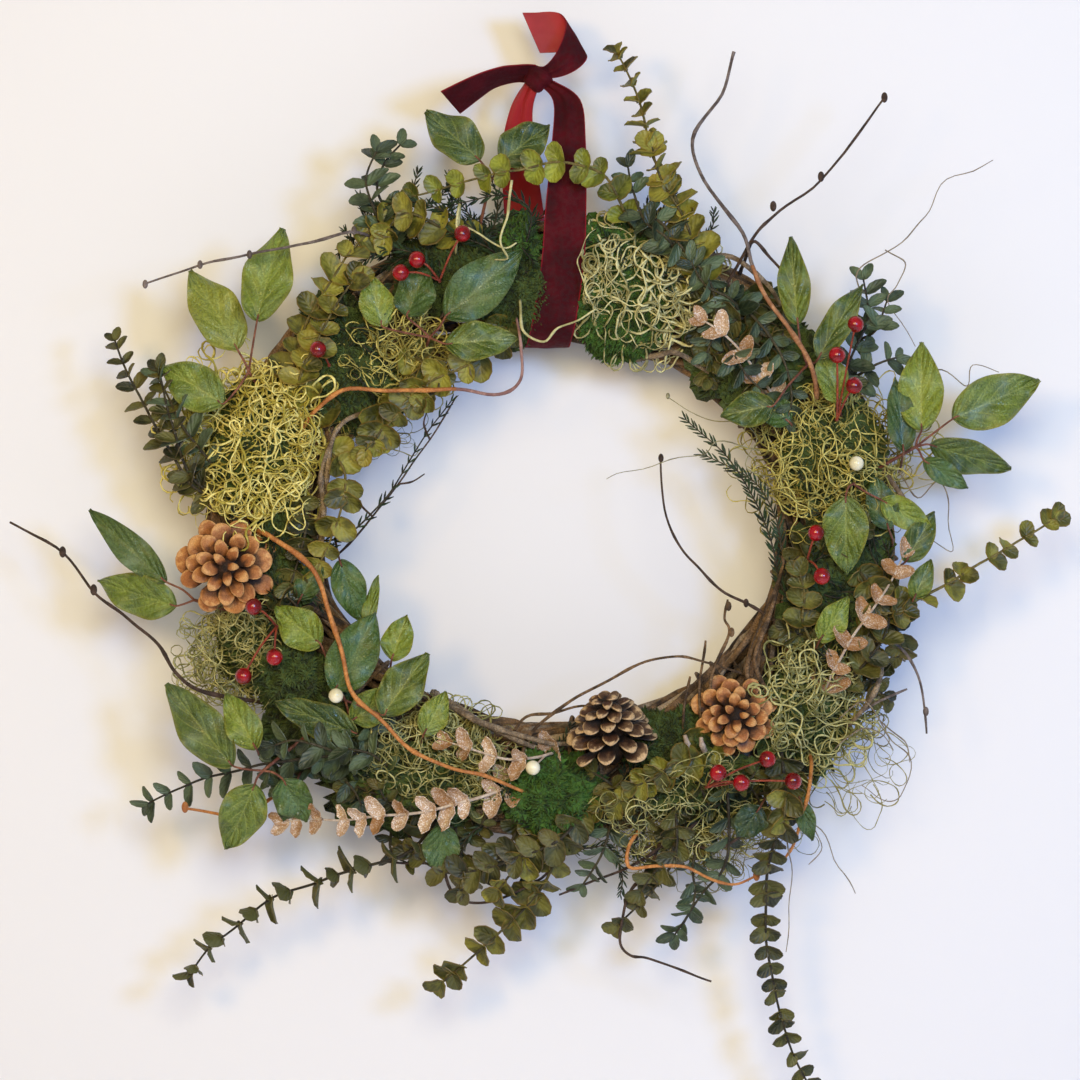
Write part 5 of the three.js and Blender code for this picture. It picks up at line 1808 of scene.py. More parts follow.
@dataclass(frozen=True)
class Thicket:
    """Short sprigs that stand all over a stretch of the vines and hide them."""

    name: str
    kind: Kind
    at: tuple[float, float]
    half: tuple[float, float]
    count: int
    seed: int
    long: float = 40.0
    rise: float = 12.0
    root: float = 8
    legs: int = 3

    def sprigs(self) -> tuple[tuple[Spot, ...], ...]:
        """Draws the sprigs' routes: up out of the vines and then away along them.

        Returns:
            The routes.
        """
        dice = Dice(self.seed)
        routes = []
        for _ in range(self.count):
            angle, reach = dice.draw(0, FULL_TURN), math.sqrt(dice.draw(0, 1))
            x = self.at[0] + self.half[0] * reach * math.cos(angle)
            y = self.at[1] + self.half[1] * reach * math.sin(angle)
            heading = dice.draw(0, FULL_TURN)
            bend = dice.draw(-0.6, 0.6)
            route = [(x, y, max(2.0, RING.skin(place((x, y, 0))) / MM - self.root))]
            for leg in range(1, self.legs + 1):
                x += self.long / self.legs * math.cos(heading + bend * leg)
                y += self.long / self.legs * math.sin(heading + bend * leg)
                skin = RING.skin(place((x, y, 0))) / MM
                route.append((x, y, max(skin, self.root) + self.rise * dice.draw(0.3, 1.0)))
            routes.append(tuple(route))
        return tuple(routes)

    def build(self) -> None:
        """Builds the sprigs as one piece."""
        LeafyStem(self.name, self.kind, 0.6, self.seed, self.sprigs(), 0.85, node=False).build()


THICKETS = tuple(Thicket(f"thicket_{name}", *bed) for name, *bed in (
    ("top_left", Kind.CEDAR, (452, 240), (90, 38), 26, 151, 56),
    ("upper_left", Kind.CEDAR, (344, 346), (28, 56), 9, 152, 40),
    ("top_right", Kind.CEDAR, (660, 250), (60, 34), 12, 153, 50),
    ("upper_right", Kind.DUSK, (752, 340), (55, 50), 12, 154),
    ("right", Kind.DUSK, (850, 600), (50, 90), 12, 155),
    ("right_needles", Kind.CEDAR, (846, 560), (46, 100), 18, 156, 46),
    ("bottom_right", Kind.SLIM, (700, 800), (96, 32), 11, 157),
    ("bottom_needles", Kind.CEDAR, (600, 810), (160, 40), 22, 158, 54),
    ("bottom_left", Kind.SLIM, (440, 812), (80, 30), 9, 159),
    ("lower_left", Kind.BLUISH, (310, 740), (60, 40), 10, 160),
    ("left", Kind.CEDAR, (280, 600), (50, 90), 16, 161, 50),
))


@dataclass(frozen=True)
class Blade:
    """One broad leaf of a spray: its foot, its tip and its width in steps."""

    foot: Spot
    tip: Spot
    width: float
    deep: bool = False
    lit: float = 0.0


@dataclass(frozen=True)
class SalalSpray:
    """Broad pointed leaves whose stalks meet at one junction."""

    name: str
    root: Spot
    junction: Spot
    seed: int
    blades: tuple[Blade, ...]
    node: bool = True
    stalk: float = 0.75 * MM
    stem: Range = (1.1 * MM, 0.9 * MM)
    stalk_tip: float = 0.5 * MM
    stalk_back: float = 12
    stalk_out: float = 4 * MM
    heel: float = 4

    def build(self) -> None:
        """Builds the stem, then each leaf on its own stalk."""
        growth = Growth(f"{self.name}_leaves")
        dice = Dice(self.seed)
        junction = place(self.junction)
        if self.node:
            stem = Course(risen([self.root, self.junction])).points
            growth.stem(stem, *self.stem, RED_STALK, 0.4)
        for blade in self.blades:
            foot, tip = place(blade.foot), place(blade.tip)
            way = (tip - foot).normalized()
            start = junction
            if not self.node:
                back = foot - way * self.stalk_back * MM
                start = Vector((back.x, -RING.skin(back) + self.stalk_out, back.z))
            bow = (start + foot) / 2 + dice.toss(1.5 * MM)
            heel = foot + way * self.heel * MM
            line = Course([start, bow, foot, heel], 4).points
            growth.stem(line, self.stalk, self.stalk_tip, RED_STALK, 0.5)
            normal = FRONT + dice.toss(0.3)
            finish = DEEP_SALAL_LEAF if blade.deep else SALAL_LEAF
            width = blade.width * STEP
            tint = min(0.9, max(0.1, dice.draw(0.15, 0.85) + blade.lit))
            growth.leaf(foot, tip, width, normal, OVATE, finish, tint, dice)
        growth.grown("salal_leaf", *([self.name] if self.node else []))


SALAL_SPRAYS = (
    SalalSpray("salal_top", (478, 232, 8), (490, 182, 28), 61, (
        Blade((480, 161, 28), (426, 108, 24), 46), Blade((501, 163, 26), (549, 121, 22), 43),
    )),
    SalalSpray("salal_top_left", (424, 352, 8), (430, 338, 33), 62, (
        Blade((446, 318, 40), (521, 253, 44), 52, True), Blade((446, 345, 38), (517, 338, 40), 40),
        Blade((408, 318, 38), (426, 268, 42), 42, True), Blade((384, 328, 36), (370, 276, 40), 36),
    )),
    SalalSpray("salal_upper_left", (262, 392, 6), (249, 372, 28), 63, (
        Blade((238, 350, 28), (191, 267, 24), 51, lit=0.6), Blade((258, 322, 34), (280, 227, 32), 52),
        Blade((224, 404, 28), (160, 365, 26), 47),
    )),
    SalalSpray("salal_left", (232, 612, 6), (194, 600, 24), 64, (
        Blade((166, 582, 24), (87, 510, 24), 32, True, 0.3),
        Blade((176, 606, 22), (93, 583, 18), 44, lit=0.3),
    )),
    SalalSpray("salal_lower_left", (316, 728, 6), (264, 770, 33), 65, (
        Blade((234, 765, 34), (165, 684, 32), 48), Blade((256, 783, 34), (227, 851, 30), 47),
        Blade((284, 778, 36), (306, 823, 32), 40, True),
    )),
    SalalSpray("salal_inner_left", (338, 690, 8), (346, 700, 33), 66, (
        Blade((322, 644, 38), (276, 608, 40), 42), Blade((336, 690, 40), (377, 614, 44), 50, True),
        Blade((358, 732, 36), (276, 704, 40), 38), Blade((384, 714, 38), (426, 652, 40), 44),
    )),
    SalalSpray("salal_upper_right", (800, 372, 8), (806, 366, 36), 67, (
        Blade((796, 326, 44), (786, 240, 48), 33), Blade((816, 360, 44), (857, 284, 46), 32),
        Blade((772, 406, 44), (720, 416, 46), 36),
    )),
    SalalSpray("salal_right", (876, 470, 6), (915, 447, 30), 68, (
        Blade((920, 431, 34), (918, 343, 36), 46), Blade((952, 419, 30), (1042, 379, 26), 52),
        Blade((930, 445, 28), (1014, 472, 22), 36), Blade((922, 460, 34), (967, 489, 34), 24, True),
    )),
    SalalSpray("salal_inner_right", (862, 486, 6), (852, 484, 34), 69, (
        Blade((844, 496, 40), (843, 574, 42), 46), Blade((880, 500, 34), (930, 530, 36), 30),
    )),
    SalalSpray("salal_filling_left", (352, 640, 8), (350, 660, 30), 121, (
        Blade((340, 560, 30), (362, 622, 30), 34, True), Blade((366, 632, 28), (376, 574, 26), 15),
        Blade((258, 748, 38), (226, 693, 36), 36), Blade((424, 734, 36), (447, 692, 38), 30),
        Blade((392, 660, 34), (406, 615, 36), 32), Blade((300, 600, 32), (322, 560, 34), 26, True),
        Blade((352, 720, 34), (398, 690, 36), 36),
    ), node=False),
    SalalSpray("salal_filling_right", (880, 470, 8), (890, 452, 30), 122, (
        Blade((902, 452, 34), (897, 378, 36), 30, True), Blade((904, 562, 34), (933, 512, 36), 30),
        Blade((818, 640, 38), (847, 598, 42), 30), Blade((838, 404, 36), (822, 348, 40), 34),
        Blade((790, 424, 34), (756, 396, 36), 30, True), Blade((888, 530, 32), (872, 476, 34), 32, True),
        Blade((912, 600, 32), (930, 560, 34), 24),
    ), node=False),
    SalalSpray("salal_filling_bottom", (440, 812, 8), (440, 820, 26), 123, (
        Blade((442, 824, 30), (440, 876, 26), 38, True), Blade((296, 786, 32), (284, 822, 30), 30, True),
        Blade((760, 806, 30), (738, 838, 30), 34, True), Blade((800, 800, 32), (812, 842, 28), 20, True),
    ), node=False),
)


@dataclass(frozen=True)
class MossBed:
    """Moss on the ring's face: its middle and half sizes in steps, and its height in millimetres."""

    name: str
    at: tuple[float, float]
    half: tuple[float, float]
    height: float
    seed: int
    finish: Finish
    strands: int = 0
    node: bool = False
    thick: float = 0.58
    curl: float = 1.0
    fine: bool = False
    lengths: Range = (16, 35)
    step: float = 4.2
    ripple: float = 1.6
    ripples: float = 0.9
    least_out: float = 0.6
    keeps_turning: float = 0.76
    turns: float = 0.42
    edges: Range = (0.95, 1.35)
    stray_from: float = 0.6
    stray_every: int = 5
    homing: Range = (0.6, 0.2)
    thins: float = 0.6
    beads: Range = (0.25, 1.7)
    lumps: tuple[Range, ...] = ((0.42, 2.2), (0.34, 6))
    swell: tuple[float, float, float] = (0.85, 0.5, 4)
    sunk: float = -0.25
    lift: float = 1.2
    front: float = -2 * MM
    spike: float = 3.3 * MM
    lean: float = 1.8 * MM

    def strand(self, growth: Growth, dice: Dice, stray: bool) -> None:
        """Lets one strand of curly moss wander over the bed, turning back at its edge.

        Args:
            growth: The piece that it is part of.
            dice: Where its wanderings come from.
            stray: Whether it starts near the edge and may leave the bed for a way.
        """
        angle, reach = dice.draw(0, FULL_TURN), math.sqrt(dice.draw(self.stray_from if stray else 0, 1))
        x = self.at[0] + reach * self.half[0] * math.cos(angle)
        y = self.at[1] + reach * self.half[1] * math.sin(angle)
        heading = angle if stray else dice.draw(0, FULL_TURN)
        turning = dice.draw(-0.4, 0.4)
        level, wave = dice.draw(0.05, 1.0), dice.draw(0, 6)
        points = []
        count = int(dice.draw(*self.lengths))
        for i in range(count):
            crest = max(0.0, math.sin(math.pi * i / (count - 1))) ** 0.5
            out = self.height * level * crest + self.ripple * math.sin(self.ripples * i + wave)
            points.append(on_vines(x, y, max(self.least_out, out)))
            turning = self.keeps_turning * turning + dice.draw(-self.turns, self.turns) * self.curl
            off_x, off_y = (x - self.at[0]) / self.half[0], (y - self.at[1]) / self.half[1]
            if math.hypot(off_x, off_y) > self.edges[stray]:
                home = math.atan2(self.at[1] - y, self.at[0] - x)
                swing = math.atan2(math.sin(home - heading), math.cos(home - heading))
                turning = self.homing[0] * turning + self.homing[1] * swing
            heading += turning
            x += self.step * math.cos(heading)
            y += self.step * math.sin(heading)
        thick = self.thick * MM * dice.draw(0.65, 1.35)
        radii = []
        for i in range(count):
            bead = 1 + self.beads[0] * math.sin(self.beads[1] * i + wave)
            radii.append(thick * (1 - self.thins * i / count) * bead)
        growth.strand(points, radii, self.finish, dice.draw(0.0, 1.0), 0)

    def tufts(self, growth: Growth) -> None:
        """Raises a lumpy cushion on the vines and draws each of its faces out into a point.

        Args:
            growth: The piece that it is.
        """
        bm = growth.bm
        paint = growth.paint(self.finish)
        made = bmesh.ops.create_icosphere(bm, subdivisions=5 if self.fine else 4, radius=1)
        offset = Vector((self.seed * 3.7, 0, self.seed * 1.3))
        for corner in made["verts"]:
            way = corner.co.copy()
            lump = 1.0
            for size, fineness in self.lumps:
                lump += size * noise.noise(way * fineness + offset)
            x = self.at[0] + way.x * self.half[0] * lump
            y = self.at[1] - way.z * self.half[1] * lump
            even, uneven, fineness = self.swell
            swell = even + uneven * noise.noise(way * fineness + offset)
            rise = max(self.sunk, -way.y) * self.height * swell
            corner.co = on_vines(x, y, 0) + FRONT * (rise + self.lift) * MM
        bm.normal_update()
        soft = [face for face in bm.faces if face.calc_center_median().y < self.front]
        points = bmesh.ops.poke(bm, faces=soft, offset=self.spike)
        dice = Dice(self.seed)
        for point in points["verts"]:
            point.co += dice.toss(self.lean)
        # All faces start at the darkest tint; those left at the base between the tufts keep it as painted
        # shade.
        growth.mark(bm.faces, paint, 0.15)
        for point in points["verts"]:
            tint = dice.draw(0.35, 0.95)
            for face in point.link_faces:
                face[growth.tint] = tint
                face.smooth = False

    def build(self) -> None:
        """Builds the bed as curls or as a cushion."""
        growth = Growth(f"{self.name}_moss")
        if self.strands:
            dice = Dice(self.seed + 100)
            for number in range(self.strands):
                self.strand(growth, dice, number % self.stray_every == 0)
        else:
            self.tufts(growth)
        slot = "curly_moss" if self.strands else "sheet_moss"
        growth.grown(slot, *([self.name] if self.node else []))


CUSHIONS = (
    ("top_left", (455, 268), (56, 36), 9, 133, SHADED_TUFT, True),
    ("by_ribbon", (518, 236), (18, 26), 10, 134, BRIGHT_TUFT, False),
    ("by_ribbon_low", (512, 296), (28, 44), 7, 145, SHADED_TUFT, True),
    ("over_ribbon", (618, 232), (38, 20), 8, 135, BRIGHT_TUFT, False),
    ("under_curls", (632, 286), (44, 48), 5, 146, BRIGHT_TUFT, True),
    ("mound", (290, 678), (33, 33), 16, 136, SHADED_TUFT, True),
    ("under_right", (706, 792), (60, 36), 8, 137, SHADED_TUFT, False),
    ("left", (284, 560), (26, 52), 6, 138, SHADED_TUFT, False),
    ("under_left_curls", (252, 440), (46, 58), 4, 147, SHADED_TUFT, False),
    ("inner_left", (352, 388), (40, 36), 7, 139, SHADED_TUFT, False),
    ("right", (842, 590), (50, 80), 7, 140, SHADED_TUFT, False),
    ("under_right_curls", (834, 452), (46, 48), 4, 148, SHADED_TUFT, False),
    ("upper_right", (752, 350), (62, 56), 6, 141, SHADED_TUFT, False),
    ("bottom_left", (400, 794), (76, 42), 6, 142, SHADED_TUFT, False),
    ("lower_left", (320, 730), (58, 46), 6, 143, SHADED_TUFT, False),
    ("by_right_cone", (670, 745), (40, 30), 7, 144, SHADED_TUFT, True),
    ("under_lower_left", (246, 654), (28, 34), 4, 154, SHADED_TUFT, False),
    ("lower_right", (806, 716), (44, 56), 5, 149, SHADED_TUFT, False),
)

MOSS_BEDS = (
    MossBed("curly_moss_left", (250, 440), (70, 78), 19, 81, YELLOW_CURL, 300, True, 0.7),
    MossBed("curly_moss_upper_left", (394, 352), (56, 40), 14, 82, DULL_CURL, 110, True),
    MossBed("curly_moss_top", (646, 286), (62, 60), 15, 83, PALE_CURL, 180, True, 0.8),
    MossBed("curly_moss_right", (834, 452), (80, 68), 15, 84, DULL_CURL, 210, True, 0.52),
    MossBed("curly_moss_lower_right", (816, 702), (48, 64), 17, 85, GREEN_CURL, 190, True, 0.66),
    MossBed("curly_moss_bottom", (436, 758), (66, 44), 14, 86, GREEN_CURL, 200, True, 0.5),
    MossBed("sheet_moss_upper_left", (330, 350), (30, 56), 8, 87, SHADED_TUFT, node=True, fine=True),
    MossBed("sheet_moss_top_right", (622, 330), (34, 26), 7, 88, BRIGHT_TUFT, node=True, fine=True),
    MossBed("sheet_moss_bottom", (550, 800), (44, 42), 15, 89, BRIGHT_TUFT, node=True, fine=True),
    MossBed("curly_moss_lower_left", (234, 656), (44, 46), 14, 131, GREEN_CURL, 150, thick=0.5),
    MossBed("curly_moss_under", (690, 812), (92, 44), 24, 132, GREEN_CURL, 160, thick=0.44, curl=1.1),
    MossBed("curly_moss_wisps", (846, 752), (48, 64), 8, 151, WISP, 26, thick=0.34, curl=0.5),
    MossBed("curly_moss_bottom_wisps", (700, 846), (90, 32), 6, 152, WISP, 60, thick=0.34, curl=0.8),
    MossBed("curly_moss_inner_wisps", (372, 424), (40, 30), 8, 153, WISP, 24, thick=0.3, curl=0.8),
    *(MossBed(f"sheet_moss_{name}", *bed, fine=fine) for name, *bed, fine in CUSHIONS),
)


@dataclass(frozen=True)
class Twig:
    """A bare vine, twig or tendril: its radius in millimetres, finish and route from its root."""

    name: str
    radius: float
    finish: Finish
    routes: tuple[tuple[Spot, ...], ...]
    node: bool = False
    rooted: bool = True
    buds: tuple[Spot, ...] = ()
    tip_finish: Finish | None = None
    wander: float = 1.2
    wanders: float = 45
    joint: float = 0.3
    joint_gap: int = 11
    thins: float = 0.45
    bud: Range = (1.4, 1.9)
    bud_shape: Spot = (0.8, 0.8, 1.3)

    def bud_corner(self, corner: Vector) -> Vector:
        """Moves a corner of a ball to its place on a longish bud."""
        return Vector([part * stretch for part, stretch in zip(corner, self.bud_shape)])

    def build(self) -> None:
        """Builds the twig with its joints and buds."""
        growth = Growth(f"{self.name}_wood")
        for number, route in enumerate(self.routes):
            line = risen(route) if self.rooted else [place(spot) for spot in route]
            points = Course(line, 6).shaken(self.wander * MM, self.wanders, len(self.name) + number)
            last = len(points) - 1
            middle = self.joint_gap // 2
            radii = []
            for i in range(last + 1):
                near = max(0.0, 1 - 3 * abs((i % self.joint_gap) - middle) / middle)
                radii.append(self.radius * MM * (1 + self.joint * near) * (1 - self.thins * i / last))
            split = last // 2 if self.tip_finish else last
            growth.strand(points[: split + 1], radii[: split + 1], self.finish, 0.5)
            if self.tip_finish:
                growth.strand(points[split:], radii[split:], self.tip_finish, 0.5)
        for spot in self.buds:
            size = max(self.bud[0], self.radius * self.bud[1]) * MM
            growth.ball(place(spot), size, self.finish, self.bud_corner)
        growth.grown("bare_twig", *([self.name] if self.node else []))


TWIGS = (
    Twig("vine_orange", 1.6, ORANGE_VINE, (
        ((256, 530, 14), (272, 536, 36), (313, 568, 42), (330, 610, 44), (342, 650, 46), (352, 690, 46),
         (380, 717, 46), (411, 745, 44), (447, 764, 44), (485, 774, 42), (522, 790, 34), (534, 800, 12)),
    ), True),
    Twig("vine_mauve", 1.4, ORANGE_VINE, (
        ((302, 430, 12), (316, 410, 34), (346, 391, 42), (396, 391, 40), (456, 391, 38), (500, 394, 37),
         (520, 380, 37), (521, 350, 37), (519, 330, 33), (514, 304, 12)),
    ), True, tip_finish=MAUVE_VINE),
    Twig("twig_top", 1.5, TAN_TWIG, (
        ((814, 412, 12), (816, 392, 36), (806, 362, 46), (786, 330, 46), (762, 296, 44), (752, 266, 44),
         (741, 235, 43), (704, 184, 40), (692, 140, 34), (722, 95, 24), (735, 50, 20)),
    ), True, rooted=False, tip_finish=GREY_TWIG),
    Twig("twig_left", 1.3, DARK_TWIG, (
        ((262, 704, 8), (206, 692, 28), (176, 672, 24), (158, 645, 20), (127, 619, 18), (92, 592, 16),
         (60, 554, 12), (5, 522, 8)),
    ), True, rooted=False, buds=((60, 552, 12), (92, 590, 16))),
    Twig("twig_upper_left", 1.0, GREY_TWIG, (
        ((392, 246, 10), (357, 234, 38), (309, 246, 44), (251, 258, 46), (200, 268, 46), (147, 286, 42)),
    ), buds=((148, 286, 42), (203, 267, 46), (355, 232, 38), (252, 257, 46))),
    Twig("twig_upper_right", 1.2, DARK_TWIG, (
        ((723, 290, 10), (749, 243, 42), (772, 217, 38), (821, 180, 34), (884, 98, 28)),
        ((742, 270, 10), (751, 243, 42), (768, 260, 38), (792, 284, 30)),
    ), buds=((772, 208, 38), (884, 98, 28), (820, 178, 34))),
    Twig("twig_in_hole", 1.0, DARK_TWIG, (
        ((800, 640, 8), (770, 617, 24), (746, 603, 26), (721, 589, 27), (700, 570, 27), (680, 548, 27),
         (665, 510, 26), (661, 458, 24)),
    ), buds=((746, 603, 26), (661, 458, 24))),
    Twig("twig_inner_left", 0.7, DARK_TWIG, (
        ((330, 560, 8), (352, 541, 25), (372, 516, 25), (398, 484, 24), (430, 440, 23), (456, 396, 22)),
        ((372, 516, 25), (362, 506, 24), (356, 494, 24)),
        ((398, 484, 24), (412, 482, 24), (424, 474, 23)),
        ((430, 440, 23), (424, 424, 23), (428, 410, 22)),
    ), rooted=False),
    Twig("pale_stubs", 1.9, FROST_STEM, (
        ((690, 752, 30), (686, 741, 38), (684, 734, 40)),
        ((704, 750, 30), (701, 743, 38), (700, 736, 40)),
    ), rooted=False, wander=0.4),
    Twig("twigs_bottom_inner", 1.1, BARK, (
        ((520, 762, 8), (531, 733, 28), (570, 700, 34), (609, 679, 36), (645, 662, 37), (676, 656, 37),
         (700, 661, 35), (732, 670, 30), (770, 690, 10)),
        ((500, 762, 8), (523, 720, 28), (552, 712, 32), (590, 706, 30), (650, 730, 12)),
        ((712, 736, 8), (709, 682, 34), (728, 635, 32), (724, 619, 32), (728, 599, 32)),
        ((684, 736, 8), (683, 707, 30), (689, 676, 28)),
        ((700, 740, 8), (700, 680, 30), (706, 640, 28)),
    ), buds=((728, 606, 32), (731, 632, 32))),
    Twig("twig_right_arc", 1.1, GREY_TWIG, (
        ((868, 640, 8), (899, 646, 20), (917, 672, 18), (926, 703, 18), (928, 735, 16)),
        ((850, 726, 8), (875, 703, 24), (907, 690, 20)),
    ), buds=((927, 712, 18),)),
    Twig("twigs_bottom", 1.1, DARK_TWIG, (
        ((668, 820, 8), (650, 867, 20), (629, 894, 16), (622, 920, 14), (621, 947, 12), (631, 959, 12),
         (648, 961, 12), (678, 971, 12), (713, 984, 12)),
        ((720, 810, 8), (676, 837, 24), (640, 862, 18), (600, 880, 16), (560, 896, 14)),
        ((440, 820, 8), (446, 880, 20), (460, 900, 16), (478, 906, 14), (506, 899, 14), (548, 880, 16)),
        ((780, 800, 8), (740, 836, 24), (716, 850, 20), (690, 846, 18), (640, 850, 16)),
        ((580, 820, 8), (548, 872, 20), (528, 886, 18), (500, 900, 16)),
        ((400, 820, 8), (420, 860, 20), (450, 866, 20), (380, 862, 16)),
    )),
    Twig("vines_orange_low", 1.3, ORANGE_VINE, (
        ((648, 822, 8), (628, 846, 24), (628, 868, 26), (656, 866, 27), (684, 866, 26), (712, 880, 24),
         (736, 884, 22), (756, 876, 20)),
        ((812, 752, 8), (809, 780, 34), (802, 812, 30), (795, 840, 24), (786, 858, 18)),
        ((276, 796, 8), (240, 818, 24), (216, 814, 22), (183, 808, 18)),
    ), buds=((184, 808, 18), (757, 876, 20))),
    Twig("vines_inner_right", 1.7, BARK, (
        ((752, 700, 8), (746, 668, 30), (764, 618, 30), (783, 562, 28), (786, 520, 10)),
        ((770, 700, 8), (754, 660, 34), (770, 610, 34), (788, 560, 20)),
    )),
    Twig("vines_inner_edges", 2.1, PALE_BARK, (
        ((440, 706, 0), (470, 716, 30), (510, 734, 32), (556, 742, 30), (600, 746, 10)),
        ((436, 696, 0), (480, 722, 28), (530, 744, 28), (575, 752, 8)),
        ((312, 540, 0), (326, 500, 26), (330, 452, 28), (344, 424, 30), (376, 410, 24)),
        ((316, 560, 0), (322, 510, 28), (322, 470, 30), (334, 436, 26)),
        ((690, 262, 0), (730, 258, 30), (764, 284, 30), (786, 310, 20)),
        ((640, 356, 0), (672, 352, 28), (704, 366, 24), (730, 384, 8)),
        ((884, 470, 0), (904, 500, 24), (912, 530, 16)),
        ((874, 640, 0), (880, 672, 26), (866, 704, 24), (848, 726, 8)),
    ), wander=2.0),
    Twig("hairs_right", 0.42, TENDRIL, (
        ((864, 300, 8), (860, 270, 24), (885, 250, 26), (925, 220, 24), (945, 180, 22), (990, 160, 20)),
        ((885, 250, 26), (905, 262, 24), (896, 284, 24), (888, 300, 24), (913, 341, 22)),
        ((905, 380, 20), (945, 367, 24), (968, 384, 24), (976, 366, 24), (1001, 371, 22)),
        ((900, 470, 14), (923, 500, 24), (940, 484, 24), (950, 510, 22), (954, 553, 20), (932, 540, 20)),
        ((840, 720, 14), (864, 703, 24), (890, 740, 20), (911, 764, 18), (905, 799, 16), (881, 803, 16),
         (860, 791, 16)),
        ((880, 720, 14), (903, 742, 20), (905, 764, 20)),
        ((790, 810, 14), (805, 818, 22), (830, 850, 18), (854, 898, 14)),
        ((786, 830, 14), (790, 855, 20), (790, 900, 16), (786, 952, 14)),
        ((836, 750, 14), (860, 730, 22), (884, 736, 20), (898, 752, 18)),
        ((800, 790, 14), (806, 816, 20), (818, 848, 18), (806, 868, 16)),
    ), rooted=False, wander=4.0),
    Twig("hairs_inside", 0.35, HAIR, (
        ((760, 450, 20), (717, 441, 26), (702, 453, 26), (650, 462, 24), (606, 482, 22)),
        ((740, 420, 20), (717, 421, 26), (690, 408, 24), (668, 396, 24)),
        ((790, 480, 20), (750, 470, 28), (756, 440, 28), (742, 420, 26)),
    ), rooted=False, buds=((668, 396, 24),), wander=3.0),
    Twig("hairs_top", 0.85, PALE_CURL, (
        ((455, 260, 24), (462, 208, 44), (459, 229, 44), (471, 229, 44), (504, 251, 42), (519, 246, 40)),
        ((512, 183, 42), (507, 216, 46), (499, 241, 46), (509, 259, 44), (498, 262, 40)),
        ((520, 300, 30), (524, 330, 40), (544, 342, 40), (556, 328, 38), (580, 320, 36), (596, 312, 34)),
    ), rooted=False, wander=2.4),
)


@dataclass(frozen=True)
class PearlPick:
    """A cream pearl on a short wire among the moss."""

    name: str
    at: Spot
    root: Spot

    def build(self) -> None:
        """Builds the wire and the pearl."""
        growth = Growth(self.name)
        growth.pearl(place(self.root), place(self.at))
        growth.grown("berry")


PEARLS = (
    PearlPick("pearl_left", (338, 694, 50), (346, 706, 14)),
    PearlPick("pearl_right", (854, 464, 44), (848, 472, 12)),
)


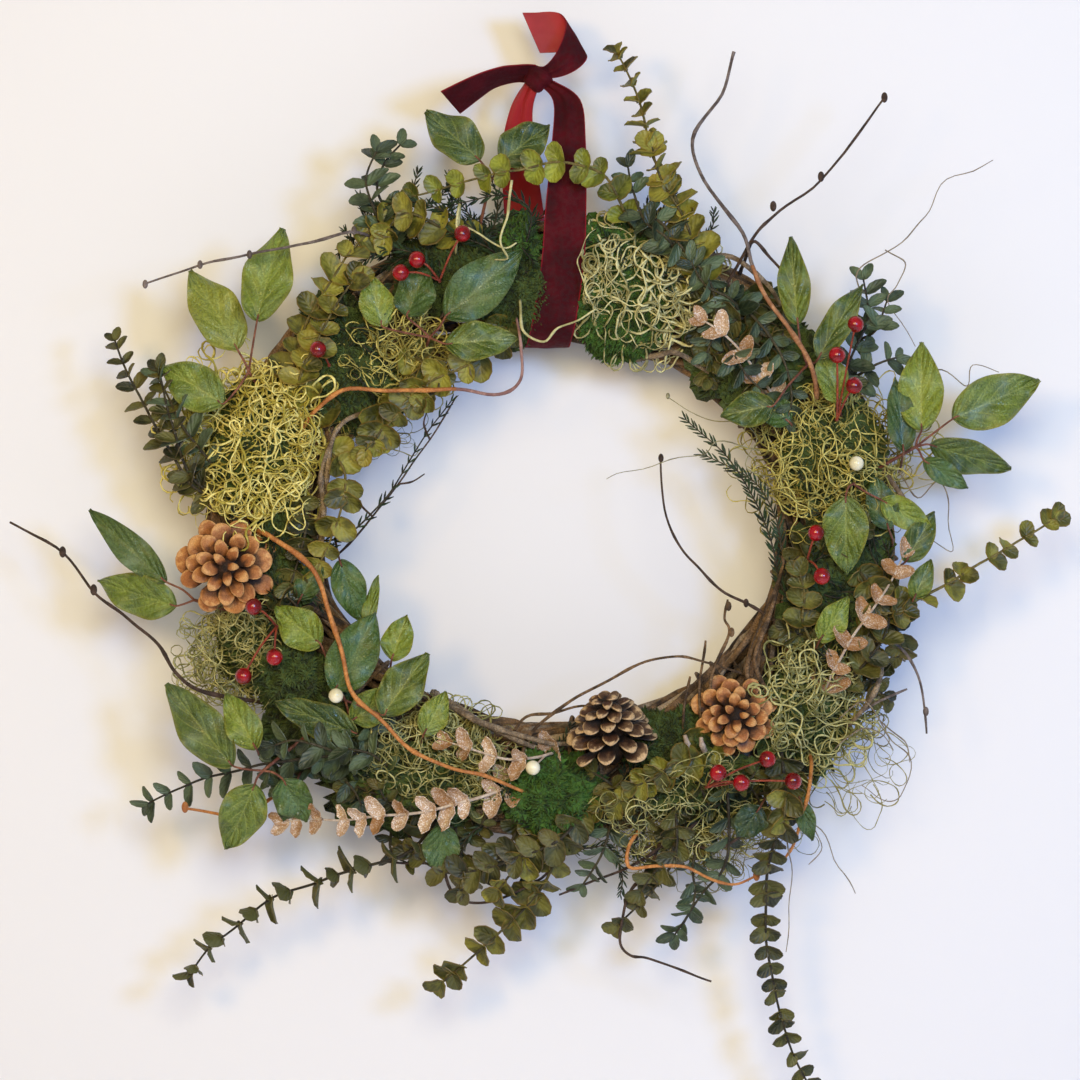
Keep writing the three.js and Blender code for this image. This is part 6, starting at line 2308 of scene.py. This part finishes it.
@dataclass(frozen=True)
class Studio:
    """A pale sweep behind and below the wreath, soft light from both sides, and the camera."""

    wall: float = 42 * MM
    floor: float = -1.05
    bend: float = 0.25
    half_width: float = 3.0
    aim: tuple[float, float] = (540, 540)
    distance: float = 2.4
    middle_out: float = 25.0
    photo_side: float = 1080
    sensor: float = 36.0
    wall_height: float = 3.2
    floor_depth: float = 2.6
    lamps: tuple[tuple[str, Spot, float, float, int], ...] = (
        ("warm_light", (-0.8, -1.85, 0.4), 0.4, 9.5, 0xFFD070),
        ("cool_light", (0.95, -1.75, 0.3), 0.4, 18.0, 0x7AB2FF),
        ("front_light", (0.05, -1.5, 0.35), 0.7, 12.0, 0xFFF4CC),
    )
    air: int = 0xFFFAEE
    air_strength: float = 0.3

    def sweep(self) -> None:
        """Bends a sheet from the wall down onto the floor."""
        bm = bmesh.new()
        made = bmesh.ops.create_grid(bm, x_segments=2, y_segments=40, size=1)
        for corner in made["verts"]:
            share = (corner.co.y + 1) / 2
            x = corner.co.x * self.half_width
            if share >= 0.5:
                height = self.floor + self.bend + (share - 0.5) * 2 * self.wall_height
                corner.co = (x, self.wall, height)
            elif share >= 0.25:
                turn = (0.5 - share) / 0.25 * math.pi / 2
                back = self.bend * (1 - math.cos(turn))
                corner.co = (x, self.wall - back, self.floor + self.bend * (1 - math.sin(turn)))
            else:
                ahead = (0.25 - share) / 0.25 * self.floor_depth
                corner.co = (x, self.wall - self.bend - ahead, self.floor)
        mesh = bpy.data.meshes.new("studio_sweep")
        for face in bm.faces:
            face.smooth = True
        bmesh.ops.recalc_face_normals(bm, faces=bm.faces[:])
        bm.normal_update()
        if sum(face.normal.y for face in bm.faces) > 0:
            bmesh.ops.reverse_faces(bm, faces=bm.faces[:])
        bm.to_mesh(mesh)
        bm.free()
        mesh.materials.append(STUDIO.material())
        sheet = bpy.data.objects.new("studio_sweep", mesh)
        bpy.context.scene.collection.objects.link(sheet)

    def lamp(self, name: str, at: Vector, aim: Vector, size: float, power: float, tone: int) -> None:
        """Hangs one soft light.

        Args:
            name: Its name.
            at: Where it hangs.
            aim: What it shines on.
            size: How wide it is, in metres.
            power: Its strength in watts.
            tone: Its colour.
        """
        light = bpy.data.lights.new(name, "AREA")
        light.shape = "DISK"
        light.size = size
        light.energy = power
        light.color = colour(tone)[:3]
        holder = bpy.data.objects.new(name, light)
        holder.location = at
        holder.rotation_mode = "QUATERNION"
        holder.rotation_quaternion = (aim - at).to_track_quat("-Z", "Y")
        bpy.context.scene.collection.objects.link(holder)

    def build(self) -> None:
        """Sets up the sweep, the lights, the air and the camera."""
        self.sweep()
        heart = place((*self.aim, 0))
        for name, off, size, power, tone in self.lamps:
            self.lamp(name, heart + Vector(off), heart, size, power, tone)
        world = bpy.data.worlds.new("studio air")
        world.use_nodes = True
        background = world.node_tree.nodes["Background"]
        background.inputs[0].default_value = colour(self.air)
        background.inputs[1].default_value = self.air_strength
        bpy.context.scene.world = world
        bpy.context.scene.view_settings.view_transform = "Standard"
        camera = bpy.data.cameras.new("camera")
        camera.sensor_width = self.sensor
        camera.lens = self.sensor * self.distance / (self.photo_side * STEP)
        camera.clip_end = 20
        holder = bpy.data.objects.new("camera", camera)
        holder.location = heart + FRONT * (self.distance + self.middle_out * MM)
        holder.rotation_euler = (math.pi / 2, 0, 0)
        bpy.context.scene.collection.objects.link(holder)
        bpy.context.scene.camera = holder


def main() -> None:
    """Builds the wreath from the ring outwards."""
    logging.basicConfig(level=logging.INFO, format="%(name)s %(message)s")
    Studio().build()
    RING.build()
    VelvetRibbon().build()
    for piece in (*CONES, *BERRY_PICKS, *LEAFY_STEMS, *THICKETS, *SALAL_SPRAYS, *MOSS_BEDS, *TWIGS, *PEARLS):
        piece.build()
    faces = (face for mesh in bpy.data.meshes for face in mesh.polygons)
    log.info("all: %d triangles", sum(len(face.vertices) - 2 for face in faces))


if __name__ == "__main__":
    main()
